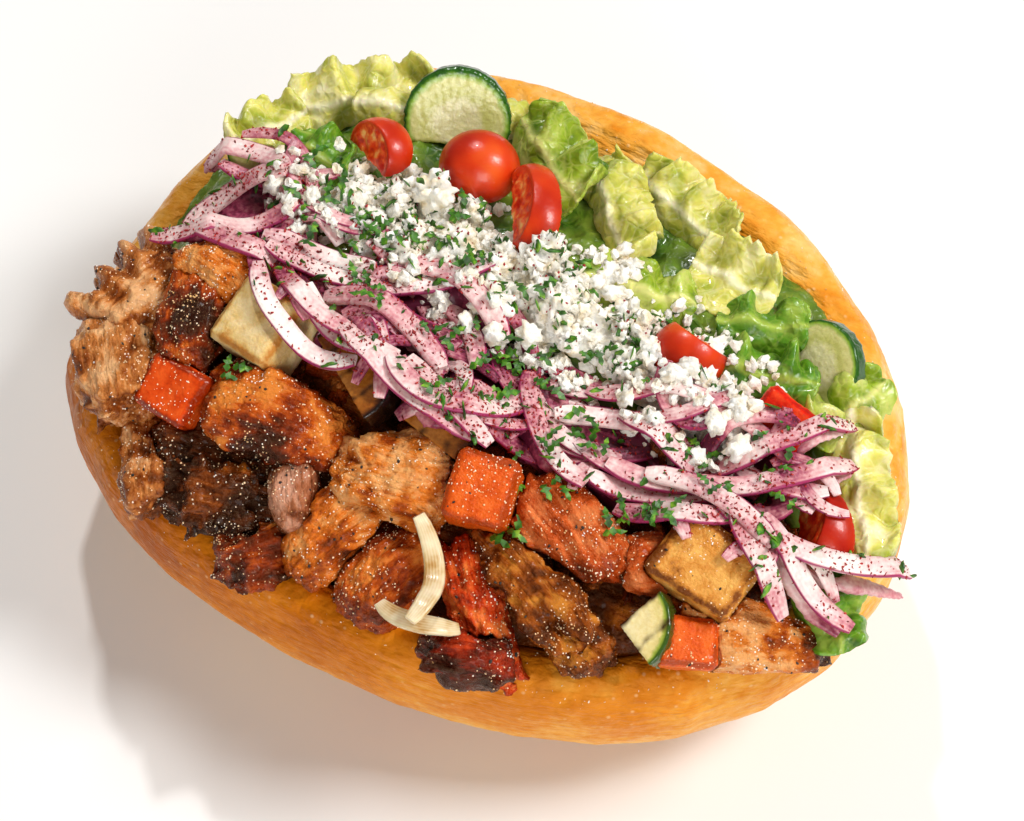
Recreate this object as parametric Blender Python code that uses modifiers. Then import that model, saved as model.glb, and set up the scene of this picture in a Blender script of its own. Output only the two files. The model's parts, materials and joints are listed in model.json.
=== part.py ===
"""Kebab sandwich: an oval pocket bread, slit along its edge and opened upwards, filled in layers.

The near side (-Y) holds grilled kebab meat with roast vegetables, and the far side (+Y) holds
salad with tomato and cucumber. Sliced red onion and crumbled white cheese lie along the middle.
The bread rests on a flat spot under its fold. X runs along the mouth, and Z is up.
"""

import itertools
import math
import random

import bmesh
import bpy
from mathutils import Matrix, Vector, noise
from mathutils.bvhtree import BVHTree

MM = 0.001
GAP = 0.35 * MM  # between touching pieces
MERGES = (0.1 * MM, 0.03 * MM, 0.01 * MM)  # vertices closer than this are one, tried in turn
LEAST_LEFT = 0.3  # share of a piece's volume that one cut must leave
MOST_LEFT = 1.02  # a cut that seems to add more has failed
FLAT_ANGLES = (15, 12, 10, 8, 6, 4, 2, 1)  # facets that turn less than this are one, tried in turn
SOLVERS = (("EXACT", True), ("EXACT", False), ("MANIFOLD", False))  # tried in turn

# Bread
RIGHT_REACH = 115 * MM  # from the centre to each end of the oval
LEFT_REACH = 102 * MM
NEAR_REACH = 76 * MM  # from the centre to the bulge of each side
FAR_REACH = 79 * MM
NEAR_RIM = 58 * MM  # heights of the lip
FAR_RIM = 86 * MM
RIGHT_RIM = 60 * MM
LEFT_RIM = 57 * MM
NUB_REACH = 5 * MM  # the lip's bulge at its near left corner
NUB_ANGLE = 202  # degrees from +X
NUB_SPREAD = 14
OVAL_POWER = 2.45  # 2 is an ellipse, more is squarer
LEFT_SQUARENESS = 0.4
NEAR_WALL = 13 * MM
FAR_WALL = 20 * MM
BREAD_SPOKES = 16
# Share of the reach and share of the lip's height, from the flat spot up the outside to the lip
BREAD_PROFILE = ((0.24, 0.0), (0.48, 0.0), (0.76, 0.08), (0.97, 0.38), (1.01, 0.74), (0.95, 1.0))

# Filling
CROWN_HEIGHT = 81 * MM  # the top of the packed filling at its highest
CROWN_LINE = 14 * MM  # the Y of that highest line
NEAR_FALL = 4.6  # how fast the filling falls towards each side, per metre
FAR_FALL = 2.2
END_FALL = 16 * MM  # how much lower it is at the ends
LAYER_SPLIT = -8 * MM  # the Y where the meat meets the salad
CORE_RINGS = 5
RIM_DEPTH = 7 * MM  # how far the filling stays under the lip where it meets the bread

# Colours, as linear RGB
BREAD = (0.56, 0.27, 0.09)
MEAT_PALE = (0.55, 0.30, 0.18)
MEAT_GLAZED = (0.38, 0.14, 0.04)
MEAT_DARK = (0.10, 0.035, 0.015)
CARROT = (0.72, 0.16, 0.02)
POTATO = (0.66, 0.45, 0.16)
AUBERGINE = (0.36, 0.19, 0.08)
ZUCCHINI = (0.50, 0.50, 0.18)
FRIED_ONION = (0.66, 0.50, 0.25)
TOMATO = (0.60, 0.04, 0.015)
CUCUMBER = (0.50, 0.62, 0.28)
LETTUCE = (0.32, 0.45, 0.09)
LETTUCE_DARK = (0.08, 0.22, 0.03)
ONION = (0.50, 0.22, 0.30)
CHEESE = (0.80, 0.76, 0.66)

# Each piece: place (x, y, height over the filling), size (long, wide, high) and turn (heading,
# nose up, roll), in millimetres and degrees. The bend arches a piece; the taper narrows one end.
MEATS = {
    "meat_core_chunk": dict(place=(-34, -50, 1), size=(46, 24, 13), turn=(12, 0, 20), colour=MEAT_DARK),
    "meat_long_fillet": dict(place=(88, -36, 3), size=(40, 16, 11), turn=(18, -8, 16), taper=0.45,
                             bend=3, colour=MEAT_PALE),
    "meat_brown_knuckle": dict(place=(53, -53, 1), size=(20, 14, 13), turn=(-21, 5, 25), rough=0.3,
                               colour=MEAT_GLAZED),
    "meat_burnt_tip": dict(place=(33, -68, 10), size=(20, 12, 11), turn=(16, -5, 30), rough=0.3,
                           colour=MEAT_DARK),
    "meat_red_shred": dict(place=(31, -57, 3), size=(38, 12, 11), turn=(-40, -14, 24), taper=0.3,
                           bend=4, rough=0.22, colour=MEAT_GLAZED),
    "meat_green_shred": dict(place=(41, -49, 4), size=(34, 14, 12), turn=(-24, -8, 20), rough=0.32,
                             colour=MEAT_GLAZED),
    "meat_sliced_stack": dict(place=(44, -36, 6), size=(32, 16, 9), turn=(-16, -4, 26), bend=2,
                              taper=0.2, colour=MEAT_PALE),
    "meat_pink_round": dict(place=(62, -35, 6), size=(13, 14, 9), turn=(31, -6, 18),
                            colour=MEAT_PALE),
    "meat_dark_crust": dict(place=(-36, -58, 4), size=(27, 19, 15), turn=(19, 0, 28), rough=0.32,
                            colour=MEAT_DARK),
    "meat_amber_bit": dict(place=(-21, -65, 3), size=(21, 16, 13), turn=(42, -6, 28), rough=0.3,
                           colour=MEAT_GLAZED),
    "meat_pink_slab": dict(place=(-18, -52, 4), size=(19, 12, 15), turn=(-60, 0, 16),
                           colour=MEAT_PALE),
    "meat_rim_scrap": dict(place=(-54, -58, 4), size=(24, 14, 14), turn=(-60, -8, 20), rough=0.28,
                           colour=MEAT_GLAZED),
    "meat_roast_strip": dict(place=(9, -59, 5), size=(27, 18, 13), turn=(-108, -24, 4), bend=3,
                             colour=MEAT_GLAZED),
    "meat_pepper_strip": dict(place=(-7, -57, 6), size=(28, 16, 13), turn=(-112, -24, -4), bend=3,
                              taper=0.15, colour=MEAT_GLAZED),
    "meat_pale_flap": dict(place=(2, -42, 8), size=(28, 20, 12), turn=(12, -4, 14), bend=3,
                           taper=-0.2, colour=MEAT_PALE),
    "meat_glazed_breast": dict(place=(-29, -41, 8), size=(37, 20, 15), turn=(4, -6, 16), bend=4,
                               taper=0.25, colour=MEAT_GLAZED),
    "meat_charred_strip": dict(place=(-58, -29, 9), size=(29, 16, 14), turn=(-76, -10, -6), bend=3,
                               colour=MEAT_DARK),
    "meat_orange_fold": dict(place=(-58, -16, 9), size=(20, 14, 11), turn=(-10, 4, 6), rough=0.2,
                             colour=MEAT_GLAZED),
    "meat_left_block": dict(place=(-71, -43, 7), size=(27, 21, 19), turn=(-54, 0, 8), rough=0.2,
                            colour=MEAT_PALE),
    "meat_scalloped": dict(place=(-75, -24, 8), size=(29, 20, 11), turn=(-104, 0, -10), rough=0.22,
                           bend=3, colour=MEAT_PALE),
}
DICE = {
    "pepper_dice": dict(place=(-54, -44, 8), size=(16, 13, 13), turn=(-6, 0, 26), colour=CARROT),
    "carrot_dice_large": dict(place=(22, -38, 8), size=(15, 16, 15), turn=(10, -4, 24), colour=CARROT),
    "carrot_dice_small": dict(place=(76, -45, 6), size=(14, 11, 11), turn=(24, -6, 22), colour=CARROT),
    "potato_dice_left": dict(place=(-41, -25, 9), size=(18, 17, 14), turn=(-10, 4, 20), colour=POTATO),
    "tomato_right": dict(place=(75, 6, 7), size=(15, 12, 12), turn=(-14, -8, 24), colour=TOMATO),
    "potato_dice_right": dict(place=(74, -31, 8), size=(21, 17, 13), turn=(-8, -8, 18), colour=POTATO),
}
# Flat vegetable slices: radius, thickness, and the share of the disc that is cut away on each side
SLICES = {
    "aubergine_slice": dict(place=(-17, -28, 9), radius=13, thick=7, trim=(0.1, None),
                            turn=(145, 0, -22), colour=AUBERGINE),
    "aubergine_skin_slice": dict(place=(5, -30, 8), radius=12, thick=5, trim=(0.2, None),
                                 turn=(165, 0, -24), colour=AUBERGINE),
    "zucchini_slice": dict(place=(63, -49, 8), radius=12, thick=6, trim=(0.0, 0.0),
                           turn=(150, 0, -28), colour=ZUCCHINI),
    "cucumber_left": dict(place=(-31, 50, 4), radius=13, thick=4, trim=(None, None),
                          turn=(24, 0, 52), colour=CUCUMBER),
    "cucumber_right": dict(place=(76, 27, 4), radius=11, thick=4, trim=(None, None),
                           turn=(-30, 0, 52), colour=CUCUMBER),
    "cucumber_far_left": dict(place=(-66, 22, 6), radius=12, thick=4, trim=(0.0, 0.0),
                              turn=(20, 0, 24), colour=CUCUMBER),
}
# Tomato pieces: the ball's radius, and the wedge's angle and shortening
TOMATOES = {
    "tomato_left": dict(place=(-41, 30, 7), radius=8, wedge=150, stretch=1.15, turn=(-12, 10, 20)),
    "tomato_back": dict(place=(-18, 37, 6), radius=9, wedge=170, stretch=1.1, turn=(10, 0, 30)),
    "tomato_tall": dict(place=(1, 29, 8), radius=9, wedge=130, stretch=1.45, turn=(-55, 0, 24)),
    "tomato_hidden": dict(place=(49, 12, 5), radius=8, wedge=160, stretch=1.1, turn=(10, 0, 30)),
    "tomato_front": dict(place=(92, -9, 6), radius=9, wedge=130, stretch=1.3, turn=(-40, 0, 30)),
}
# Lettuce: length and width of the leaf, its curl across (degrees) and the height of its ripples
LEAF_THICK = 1.2 * MM
LEAF_WAVE = 11 * MM  # from one ripple to the next
LEAF_MESH = 4.9  # from one row of vertices to the next, in millimetres
LETTUCE_LEAVES = {
    "lettuce_far_left": dict(place=(-55, 47, 3), size=(40, 22), curl=60, ripple=2.4,
                             turn=(32, 0, 40), colour=LETTUCE),
    "lettuce_left_tip": dict(place=(-71, 27, 6), size=(22, 16), curl=60, ripple=2.0,
                             turn=(60, 0, 30), colour=LETTUCE),
    "lettuce_dark_frill": dict(place=(-54, 22, 8), size=(18, 16), curl=90, ripple=2.4,
                               turn=(-4, 0, 30), colour=LETTUCE_DARK),
    "lettuce_curl": dict(place=(-46, 45, 7), size=(26, 12), curl=150, ripple=1.2,
                         turn=(16, 0, 30), colour=LETTUCE),
    "lettuce_middle_frill": dict(place=(-19, 53, 3), size=(22, 18), curl=70, ripple=2.4,
                                 turn=(14, 0, 45), colour=LETTUCE),
    "lettuce_tall": dict(place=(-4, 46, 8), size=(32, 22), curl=90, ripple=2.6,
                         turn=(-38, 6, 42), colour=LETTUCE),
    "lettuce_rib_fold": dict(place=(15, 40, 5), size=(34, 22), curl=110, ripple=2.0,
                             turn=(-50, 0, 38), colour=LETTUCE),
    "lettuce_far_fold": dict(place=(31, 48, 6), size=(33, 20), curl=80, ripple=2.4,
                             turn=(-22, 0, 46), colour=LETTUCE),
    "lettuce_green_lobe": dict(place=(32, 20, 8), size=(28, 17), curl=80, ripple=1.8,
                               turn=(10, 0, 12), colour=LETTUCE_DARK),
    "lettuce_pale_bowl": dict(place=(49, 37, 4), size=(22, 20), curl=-70, ripple=1.6,
                              turn=(-4, 0, 30), colour=LETTUCE),
    "lettuce_dark_top": dict(place=(60, 29, 5), size=(22, 16), curl=110, ripple=1.8,
                             turn=(20, 0, 20), colour=LETTUCE_DARK),
    "lettuce_dark_lobe": dict(place=(65, 15, 7), size=(28, 17), curl=90, ripple=2.4,
                              turn=(14, 0, 16), colour=LETTUCE_DARK),
    "lettuce_right_frill": dict(place=(86, 19, 7), size=(26, 14), curl=70, ripple=2.6,
                                turn=(66, 0, 20), colour=LETTUCE),
    "lettuce_right_long": dict(place=(96, 2, 9), size=(40, 16), curl=80, ripple=2.4,
                               turn=(-60, -6, 26), colour=LETTUCE),
    "lettuce_front_tip": dict(place=(100, -22, 6), size=(24, 16), curl=70, ripple=2.0,
                              turn=(-50, -14, 10), colour=LETTUCE_DARK),
}
# Onion strips: middle of the arc (x, y), length, heading of its chord and how far it turns
ONION_WIDTH = 5.6
ONION_THICK = 2.4
LOWERING_STEPS = 9  # a strip that touches no other one sinks by up to this many millimetres
STRIP_STEP = 10  # from one bend of a strip to the next
STRIP_DROOP = 0.7  # steepest slope of a strip
STRIP_CLEAR = 0.7  # share of its thickness by which a strip's middle clears other pieces
STRIP_SINK = 0.0  # share of its thickness by which a strip stands over one it is fused with
STRIP_SECTION = ((0.5, -0.4), (0.4, 0.5), (-0.4, 0.5), (-0.5, -0.4))  # shares of width, thickness
BED_SECTION = ((0.5, -0.6), (0.5, 0.0), (0.28, 0.45), (-0.28, 0.45), (-0.5, 0.0), (-0.5, -0.6))
ONION_BED = ((-74, 9), (-40, -5), (-12, -11), (20, -13), (50, -14), (80, -17))
ONION_BED_WIDTH = 24
ONION_BED_HEIGHT = 8
ONION_STRIPS = (
    (-12, -4, 50, -2, -135), (-21, -22, 30, -14, 60), (-33, -25, 38, -21, 80),
    (-58, -11, 24, -4, 20), (-39, -3, 28, 7, -13),
    (-23, -3, 55, 23, 59), (-4, 2, 32, -15, -58), (-63, -6, 36, 36, 45), (-68, 6, 27, 43, -68),
    (-69, 15, 25, 2, -66), (-3, -28, 39, -13, 29), (8, -27, 27, -20, 6), (9, -24, 38, 21, 118),
    (29, -20, 33, -40, 56), (46, -11, 37, 4, -51), (59, -21, 36, 17, 26),
    (63, -26, 26, 17, 39), (71, -12, 58, 28, 63), (78, 0, 37, 48, 33), (93, -18, 46, 13, 60),
    (94, -24, 29, -20, 30), (-14, -14, 36, -10, -60),
)
# Crumbled cheese: a bed along this line, and crumbs scattered over it
CHEESE_BED = ((-54, 15), (-27, 16), (-2, 13), (34, 11), (56, 5), (80, -4))
CHEESE_BED_WIDTH = 21
CHEESE_BED_HEIGHT = 7
CRUMBS = 24
CRUMB_SIZES = (5.0, 8.5)
FRIED_ONIONS = {
    "fried_onion_upright": dict(place=(20, -60, 7), length=26, width=7, thick=3, heading=-66, bend=-70),
    "fried_onion_flat": dict(place=(22, -69, 3), length=20, width=6, thick=3, heading=6, bend=60),
}


def filling_top(x, y):
    """Height of the packed filling's top at a place in plan."""
    fall = NEAR_FALL if y < CROWN_LINE else FAR_FALL
    return CROWN_HEIGHT - fall * (y - CROWN_LINE) ** 2 - END_FALL * abs(x / LEFT_REACH) ** 3


def oval_reach(angle):
    """Distance in plan from the centre to the bread's bulge, in this direction."""
    across = NEAR_REACH if math.sin(angle) < 0 else FAR_REACH
    along = RIGHT_REACH if math.cos(angle) > 0 else LEFT_REACH
    power = OVAL_POWER - LEFT_SQUARENESS * math.cos(angle)
    share = (abs(math.cos(angle)) / along) ** power + (abs(math.sin(angle)) / across) ** power
    off = (math.degrees(angle) % 360 - NUB_ANGLE) / NUB_SPREAD
    return share ** (-1 / power) + NUB_REACH * math.exp(-(off**2))


def rim_height(angle):
    side = math.sin(angle)
    lip = NEAR_RIM if side < 0 else FAR_RIM
    end = RIGHT_RIM if math.cos(angle) > 0 else LEFT_RIM
    return end + (lip - end) * abs(side)


def wall(angle):
    """Thickness of the bread's wall in this direction."""
    far = 0.5 + 0.5 * math.sin(angle)
    return NEAR_WALL + (FAR_WALL - NEAR_WALL) * far


def skin_point(angle, reach_share, height_share):
    """A point on the outside of the bread."""
    reach = oval_reach(angle) * reach_share
    return Vector((reach * math.cos(angle), reach * math.sin(angle), rim_height(angle) * height_share))


def collection(name):
    made = bpy.data.collections.new(name)
    bpy.context.scene.collection.children.link(made)
    return made


def material(name, colour, roughness):
    made = bpy.data.materials.new(name)
    made.use_nodes = True
    shader = made.node_tree.nodes["Principled BSDF"]
    shader.inputs["Base Color"].default_value = (*colour, 1)
    shader.inputs["Roughness"].default_value = roughness
    shader.inputs["Metallic"].default_value = 0
    return made


def add_piece(name, bm, colour, roughness=0.45):
    """Closes a bmesh into a named object with its own material."""
    mesh = bpy.data.meshes.new(name)
    bmesh.ops.recalc_face_normals(bm, faces=bm.faces)
    bm.to_mesh(mesh)
    bm.free()
    mesh.shade_smooth()
    mesh.set_sharp_from_angle(angle=math.radians(40))
    obj = bpy.data.objects.new(name, mesh)
    obj.data.materials.append(material(name, colour, roughness))
    sandwich.objects.link(obj)
    return obj


def set_down(obj, place, turn):
    """Puts a piece on the filling: place in millimetres, turn as heading, nose up and roll."""
    x, y = place[0] * MM, place[1] * MM
    heading, nose_up, roll = (math.radians(angle) for angle in turn)
    spin = Matrix.Rotation(heading, 4, "Z") @ Matrix.Rotation(-nose_up, 4, "Y")
    spin = spin @ Matrix.Rotation(roll, 4, "X")
    obj.location = (x, y, filling_top(x, y) + place[2] * MM)
    obj.rotation_euler = spin.to_euler()


def as_seen(obj):
    """The object's mesh with its modifiers worked out."""
    graph = bpy.context.evaluated_depsgraph_get()
    return bpy.data.meshes.new_from_object(obj.evaluated_get(graph))


def apply_modifiers(obj):
    old, obj.data = obj.data, as_seen(obj)
    obj.modifiers.clear()
    bpy.data.meshes.remove(old)


# Making room: every piece is cut clear of the ones placed before it


def triangulate(mesh):
    bm = bmesh.new()
    bm.from_mesh(mesh)
    bmesh.ops.triangulate(bm, faces=bm.faces)
    bm.to_mesh(mesh)
    bm.free()


def swollen(obj):
    """A hidden copy of a piece, one gap larger all round, used as a cutter."""
    bm = bmesh.new()
    bm.from_mesh(obj.data)
    bm.normal_update()
    places = [v.co + v.normal * GAP * min(v.calc_shell_factor(), 2.0) for v in bm.verts]
    for v, place in zip(bm.verts, places):
        v.co = place
    mesh = bpy.data.meshes.new(obj.name + "_clearance")
    bm.to_mesh(mesh)
    bm.free()
    cutter = bpy.data.objects.new(mesh.name, mesh)
    cutter.matrix_world = obj.matrix_world.copy()
    cutter.hide_render = True
    cutter.display_type = "WIRE"
    cutters.objects.link(cutter)
    return cutter


def surface(obj):
    """The object's triangles in world space, as a search tree."""
    bm = bmesh.new()
    bm.from_mesh(obj.data)
    bmesh.ops.triangulate(bm, faces=bm.faces)
    bm.transform(obj.matrix_world)
    tree = BVHTree.FromBMesh(bm)
    bm.free()
    return tree


def simplify(obj, around):
    """Merges the nearly coplanar facets that cutting leaves, as long as the piece stays inside
    the space that its neighbours leave it."""
    cut_mesh = obj.data
    for merge, angle in itertools.product(MERGES, FLAT_ANGLES):
        bm = bmesh.new()
        bm.from_mesh(cut_mesh)
        bmesh.ops.remove_doubles(bm, verts=bm.verts, dist=merge)
        bmesh.ops.dissolve_limit(bm, angle_limit=math.radians(angle), verts=bm.verts, edges=bm.edges)
        bmesh.ops.triangulate(bm, faces=bm.faces)
        obj.data = cut_mesh.copy()
        bm.to_mesh(obj.data)
        bm.free()
        tree = surface(obj)
        if volume(obj.data) > 0 and not any(tree.overlap(other) for other in around):
            return
    obj.data = cut_mesh


def largest_body(obj):
    """Keeps the largest closed body of a cut piece."""
    bm = bmesh.new()
    bm.from_mesh(obj.data)
    left, bodies = set(bm.faces), []
    while left:
        found, front = set(), [next(iter(left))]
        while front:
            face = front.pop()
            if face in found:
                continue
            found.add(face)
            front += [other for edge in face.edges for other in edge.link_faces]
        left -= found
        bodies.append(found)
    if len(bodies) > 1:
        bodies.sort(key=lambda body: sum(face.calc_area() for face in body))
        kept = sum(face.calc_area() for face in bodies.pop())
        lost = [face for body in bodies for face in body]
        share = sum(face.calc_area() for face in lost) / kept
        bmesh.ops.delete(bm, geom=lost, context="FACES")
        bm.to_mesh(obj.data)
        print(f"{obj.name}: dropped scraps of {share:.0%} of its surface")
    bm.free()


def volume(mesh):
    """The volume inside a mesh, or 0 if it isn't closed."""
    bm = bmesh.new()
    bm.from_mesh(mesh)
    closed = all(edge.is_manifold for edge in bm.edges)
    inside = bm.calc_volume(signed=True) if closed else 0
    bm.free()
    return inside


def cut_clear(obj, cutter, neighbour):
    """Takes the cutter's space out of a piece, so that it is clear of the neighbour in it."""
    whole, uncut = volume(obj.data), obj.data
    for solver, use_self in SOLVERS:
        cut = obj.modifiers.new("clearance", "BOOLEAN")
        cut.operation = "DIFFERENCE"
        cut.object = cutter
        cut.solver = solver
        cut.use_self = use_self
        trial = as_seen(obj)
        obj.modifiers.clear()
        triangulate(trial)
        if LEAST_LEFT * whole < volume(trial) < MOST_LEFT * whole:
            trial.materials.clear()
            trial.materials.append(uncut.materials[0])
            obj.data = trial
            if not surface(obj).overlap(neighbour):
                return
            obj.data = uncut
    print(f"{obj.name}: not cut by {cutter.name}")


def settle(obj, simpler=True, inside=True):
    """Cuts a new piece clear of the settled ones, and settles it too. Simplified, it stays inside
    its own clearance, unless no later piece fits closely round it."""
    triangulate(obj.data)
    bpy.context.view_layer.update()
    cutter = swollen(obj)
    tree = surface(obj)
    for other, other_tree, neighbour in settled:
        if tree.overlap(other_tree):
            cut_clear(obj, other, neighbour)
    largest_body(obj)
    own = surface(cutter)
    if simpler:
        simplify(obj, [other for _, _, other in settled] + ([own] if inside else []))
    bpy.context.view_layer.update()
    settled.append((cutter, own, surface(obj)))


def rest_height(x, y, reach):
    """Highest settled surface within reach of a place in plan."""
    best = 0.0
    for dx, dy in ((0, 0), (reach, 0), (-reach, 0), (0, reach), (0, -reach)):
        start = Vector((x + dx, y + dy, 0.2))
        for _, tree, _ in settled:
            hit = tree.ray_cast(start, Vector((0, 0, -1)))[0]
            if hit is not None:
                best = max(best, hit.z)
    return best


# Bread and the packed filling


def polar_cage(spokes, rings):
    """An open bowl of rings round a pole, with the ring's number and angle of each vertex."""
    bm = bmesh.new()
    bmesh.ops.create_uvsphere(bm, u_segments=spokes, v_segments=2 * rings, radius=1)
    bm.verts.layers.deform.verify()
    upper = [v for v in bm.verts if v.co.z > 0.01]
    bmesh.ops.delete(bm, geom=upper, context="VERTS")
    step = math.pi / (2 * rings)
    marks = {}
    for v in bm.verts:
        ring = round(math.acos(max(-1, min(1, -v.co.z))) / step)
        marks[v] = (ring, math.atan2(v.co.y, v.co.x))
    return bm, marks


def make_bread():
    bm, marks = polar_cage(BREAD_SPOKES, len(BREAD_PROFILE))
    layer = bm.verts.layers.deform.verify()
    for v, (ring, angle) in marks.items():
        share, height = BREAD_PROFILE[ring - 1] if ring else (0, 0)
        v.co = skin_point(angle, share, height)
        v[layer][0] = wall(angle) / FAR_WALL
    obj = add_piece("bread", bm, BREAD)
    obj.vertex_groups.new(name="wall")
    shell = obj.modifiers.new("wall", "SOLIDIFY")
    shell.thickness = FAR_WALL
    shell.offset = -1
    shell.vertex_group = "wall"
    round_off = obj.modifiers.new("crust", "SUBSURF")
    round_off.levels = round_off.render_levels = 1
    apply_modifiers(obj)
    settle(obj, simpler=False)


def make_core(name, side, colour):
    """Half of the packed filling: side -1 is the meat's, side 1 the salad's."""
    bm = bmesh.new()
    bmesh.ops.create_uvsphere(bm, u_segments=BREAD_SPOKES, v_segments=2 * CORE_RINGS, radius=1)
    step = math.pi / (2 * CORE_RINGS)
    for v in bm.verts:
        ring = math.acos(max(-1, min(1, -v.co.z))) / step
        angle = math.atan2(v.co.y, v.co.x)
        middle = 1 - 0.5 * wall(angle) / oval_reach(angle)
        if ring <= CORE_RINGS:  # the underside follows the middle of the bread's wall
            share = ring / CORE_RINGS
            reach = oval_reach(angle) * middle * share ** 0.7
            depth = rim_height(angle) - RIM_DEPTH - 0.4 * wall(angle)
            height = 0.4 * wall(angle) + depth * (1 - math.sqrt(max(0, 1 - share ** 2)))
        else:
            share = 2 - ring / CORE_RINGS
            reach = oval_reach(angle) * middle * share
            x, y = reach * math.cos(angle), reach * math.sin(angle)
            edge = max(0, (share - 0.8) / 0.2)
            low = rim_height(angle) - RIM_DEPTH
            height = (1 - edge) * filling_top(x, y) + edge * min(low, filling_top(x, y))
        v.co = (reach * math.cos(angle), reach * math.sin(angle), height)
    bmesh.ops.remove_doubles(bm, verts=bm.verts, dist=GAP)
    geom = list(bm.verts) + list(bm.edges) + list(bm.faces)
    cut = bmesh.ops.bisect_plane(
        bm, geom=geom, plane_co=(0, LAYER_SPLIT + side * GAP / 2, 0), plane_no=(0, -side, 0),
        clear_outer=True,
    )
    edges = [e for e in cut["geom_cut"] if isinstance(e, bmesh.types.BMEdge)]
    bmesh.ops.contextual_create(bm, geom=edges)
    settle(add_piece(name, bm, colour))


# Shapes of the single pieces


def chunk(size, seed, rough=0.14, bend=0, taper=0, blockiness=3.2, cuts=2):
    """A lump of meat: a rounded block with low bumps."""
    bm = bmesh.new()
    bmesh.ops.create_cube(bm, size=2)
    bmesh.ops.subdivide_edges(bm, edges=bm.edges, cuts=cuts, use_grid_fill=True)
    shift = Vector((seed * 7.3, seed * 3.1, 0))
    for v in bm.verts:
        way = v.co.normalized()
        reach = sum(abs(part) ** blockiness for part in way) ** (-1 / blockiness)
        co = way * reach * (1 + rough * noise.noise(way * 2.2 + shift) * 1.6)
        narrow = 1 - taper * co.x
        v.co = (
            co.x * size[0] / 2 * MM,
            co.y * size[1] / 2 * MM * narrow,
            (co.z * size[2] / 2 * narrow - bend * co.x**2) * MM,
        )
    return bm


def dice(size, seed):
    """A roast cube with softened edges and slightly uneven corners."""
    bm = bmesh.new()
    bmesh.ops.create_cube(bm, size=1)
    draw = random.Random(seed)
    for v in bm.verts:
        v.co = [part * extent * MM * draw.uniform(0.9, 1.08) for part, extent in zip(v.co, size)]
    bmesh.ops.bevel(
        bm, geom=bm.edges, offset=1.3 * MM, segments=1, affect="EDGES", profile=0.5
    )
    return bm


def trim_flat(bm, point, normal):
    """Cuts away what lies beyond a plane and closes the cut."""
    geom = list(bm.verts) + list(bm.edges) + list(bm.faces)
    cut = bmesh.ops.bisect_plane(
        bm, geom=geom, plane_co=point, plane_no=normal, clear_outer=True
    )
    edges = [e for e in cut["geom_cut"] if isinstance(e, bmesh.types.BMEdge)]
    bmesh.ops.contextual_create(bm, geom=edges)


def round_slice(radius, thick, trim):
    """A disc, less the parts beyond the trim lines across X and along Y."""
    bm = bmesh.new()
    bmesh.ops.create_cone(
        bm, cap_ends=True, segments=18, radius1=radius * MM, radius2=radius * MM, depth=thick * MM
    )
    if trim[0] is not None:
        trim_flat(bm, (0, trim[0] * radius * MM, 0), (0, 1, 0))
    if trim[1] is not None:
        trim_flat(bm, (trim[1] * radius * MM, 0, 0), (1, 0, 0))
    return bm


def tomato_piece(radius, wedge, stretch):
    """A wedge of a small tomato, skin upwards."""
    bm = bmesh.new()
    bmesh.ops.create_uvsphere(bm, u_segments=12, v_segments=8, radius=radius * MM)
    for v in bm.verts:
        v.co.x, v.co.z = v.co.z * stretch, v.co.x
    half = math.radians(wedge / 2)
    for side in (-1, 1):
        trim_flat(bm, (0, 0, 0), (0, side * math.cos(half), -math.sin(half)))
    return bm


def leaf(size, curl, ripple, seed):
    """A thin wavy leaf: arched across, with a frill along its +Y edge."""
    length, width = size[0] * MM, size[1] * MM
    bm = bmesh.new()
    bmesh.ops.create_grid(bm, x_segments=max(3, round(size[0] / LEAF_MESH)), y_segments=3, size=1)
    bmesh.ops.triangulate(bm, faces=bm.faces)
    radius = width / math.radians(abs(curl))
    for v in bm.verts:
        u, w = v.co.x, v.co.y
        arc = w * math.radians(abs(curl)) / 2 * math.sqrt(1 - 0.65 * u**4)
        frill = ripple * MM * max(0, w + 0.4) * math.sin(u * length / 2 / LEAF_WAVE * math.tau + seed)
        v.co.x = u * length / 2 * (1 - 0.1 * w**2)
        v.co.y = radius * math.sin(arc) + 0.4 * frill
        v.co.z = -math.copysign(radius * (1 - math.cos(arc)), curl) + frill
        v.co.z += 2.2 * MM * noise.noise(Vector((u * 1.3, w * 0.8, seed + 5)))
    bm.normal_update()
    top = list(bm.verts)
    under = bmesh.ops.duplicate(bm, geom=top + list(bm.edges) + list(bm.faces))
    normals = {v: v.normal.copy() for v in top}
    for v, twin in under["vert_map"].items():
        if v in normals:
            twin.co -= normals[v] * LEAF_THICK / 2
            v.co += normals[v] * LEAF_THICK / 2
    lower = [item for item in under["geom"] if isinstance(item, bmesh.types.BMFace)]
    bmesh.ops.reverse_faces(bm, faces=lower)
    bmesh.ops.bridge_loops(bm, edges=[e for e in bm.edges if e.is_boundary])
    return bm


def arc_points(middle, length, heading, bend, count):
    """Points along a strip that turns evenly: middle and length in metres, angles in degrees."""
    turn = math.radians(bend)
    step = length / (count - 1)
    points = []
    place, way = Vector((0, 0)), math.radians(heading) - turn / 2
    for index in range(count):
        points.append(place.copy())
        middle_way = way + turn * (index + 0.5) / (count - 1)
        place += step * Vector((math.cos(middle_way), math.sin(middle_way)))
    centre = sum(points, Vector((0, 0))) / count
    return [Vector(middle) + point - centre for point in points]


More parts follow.
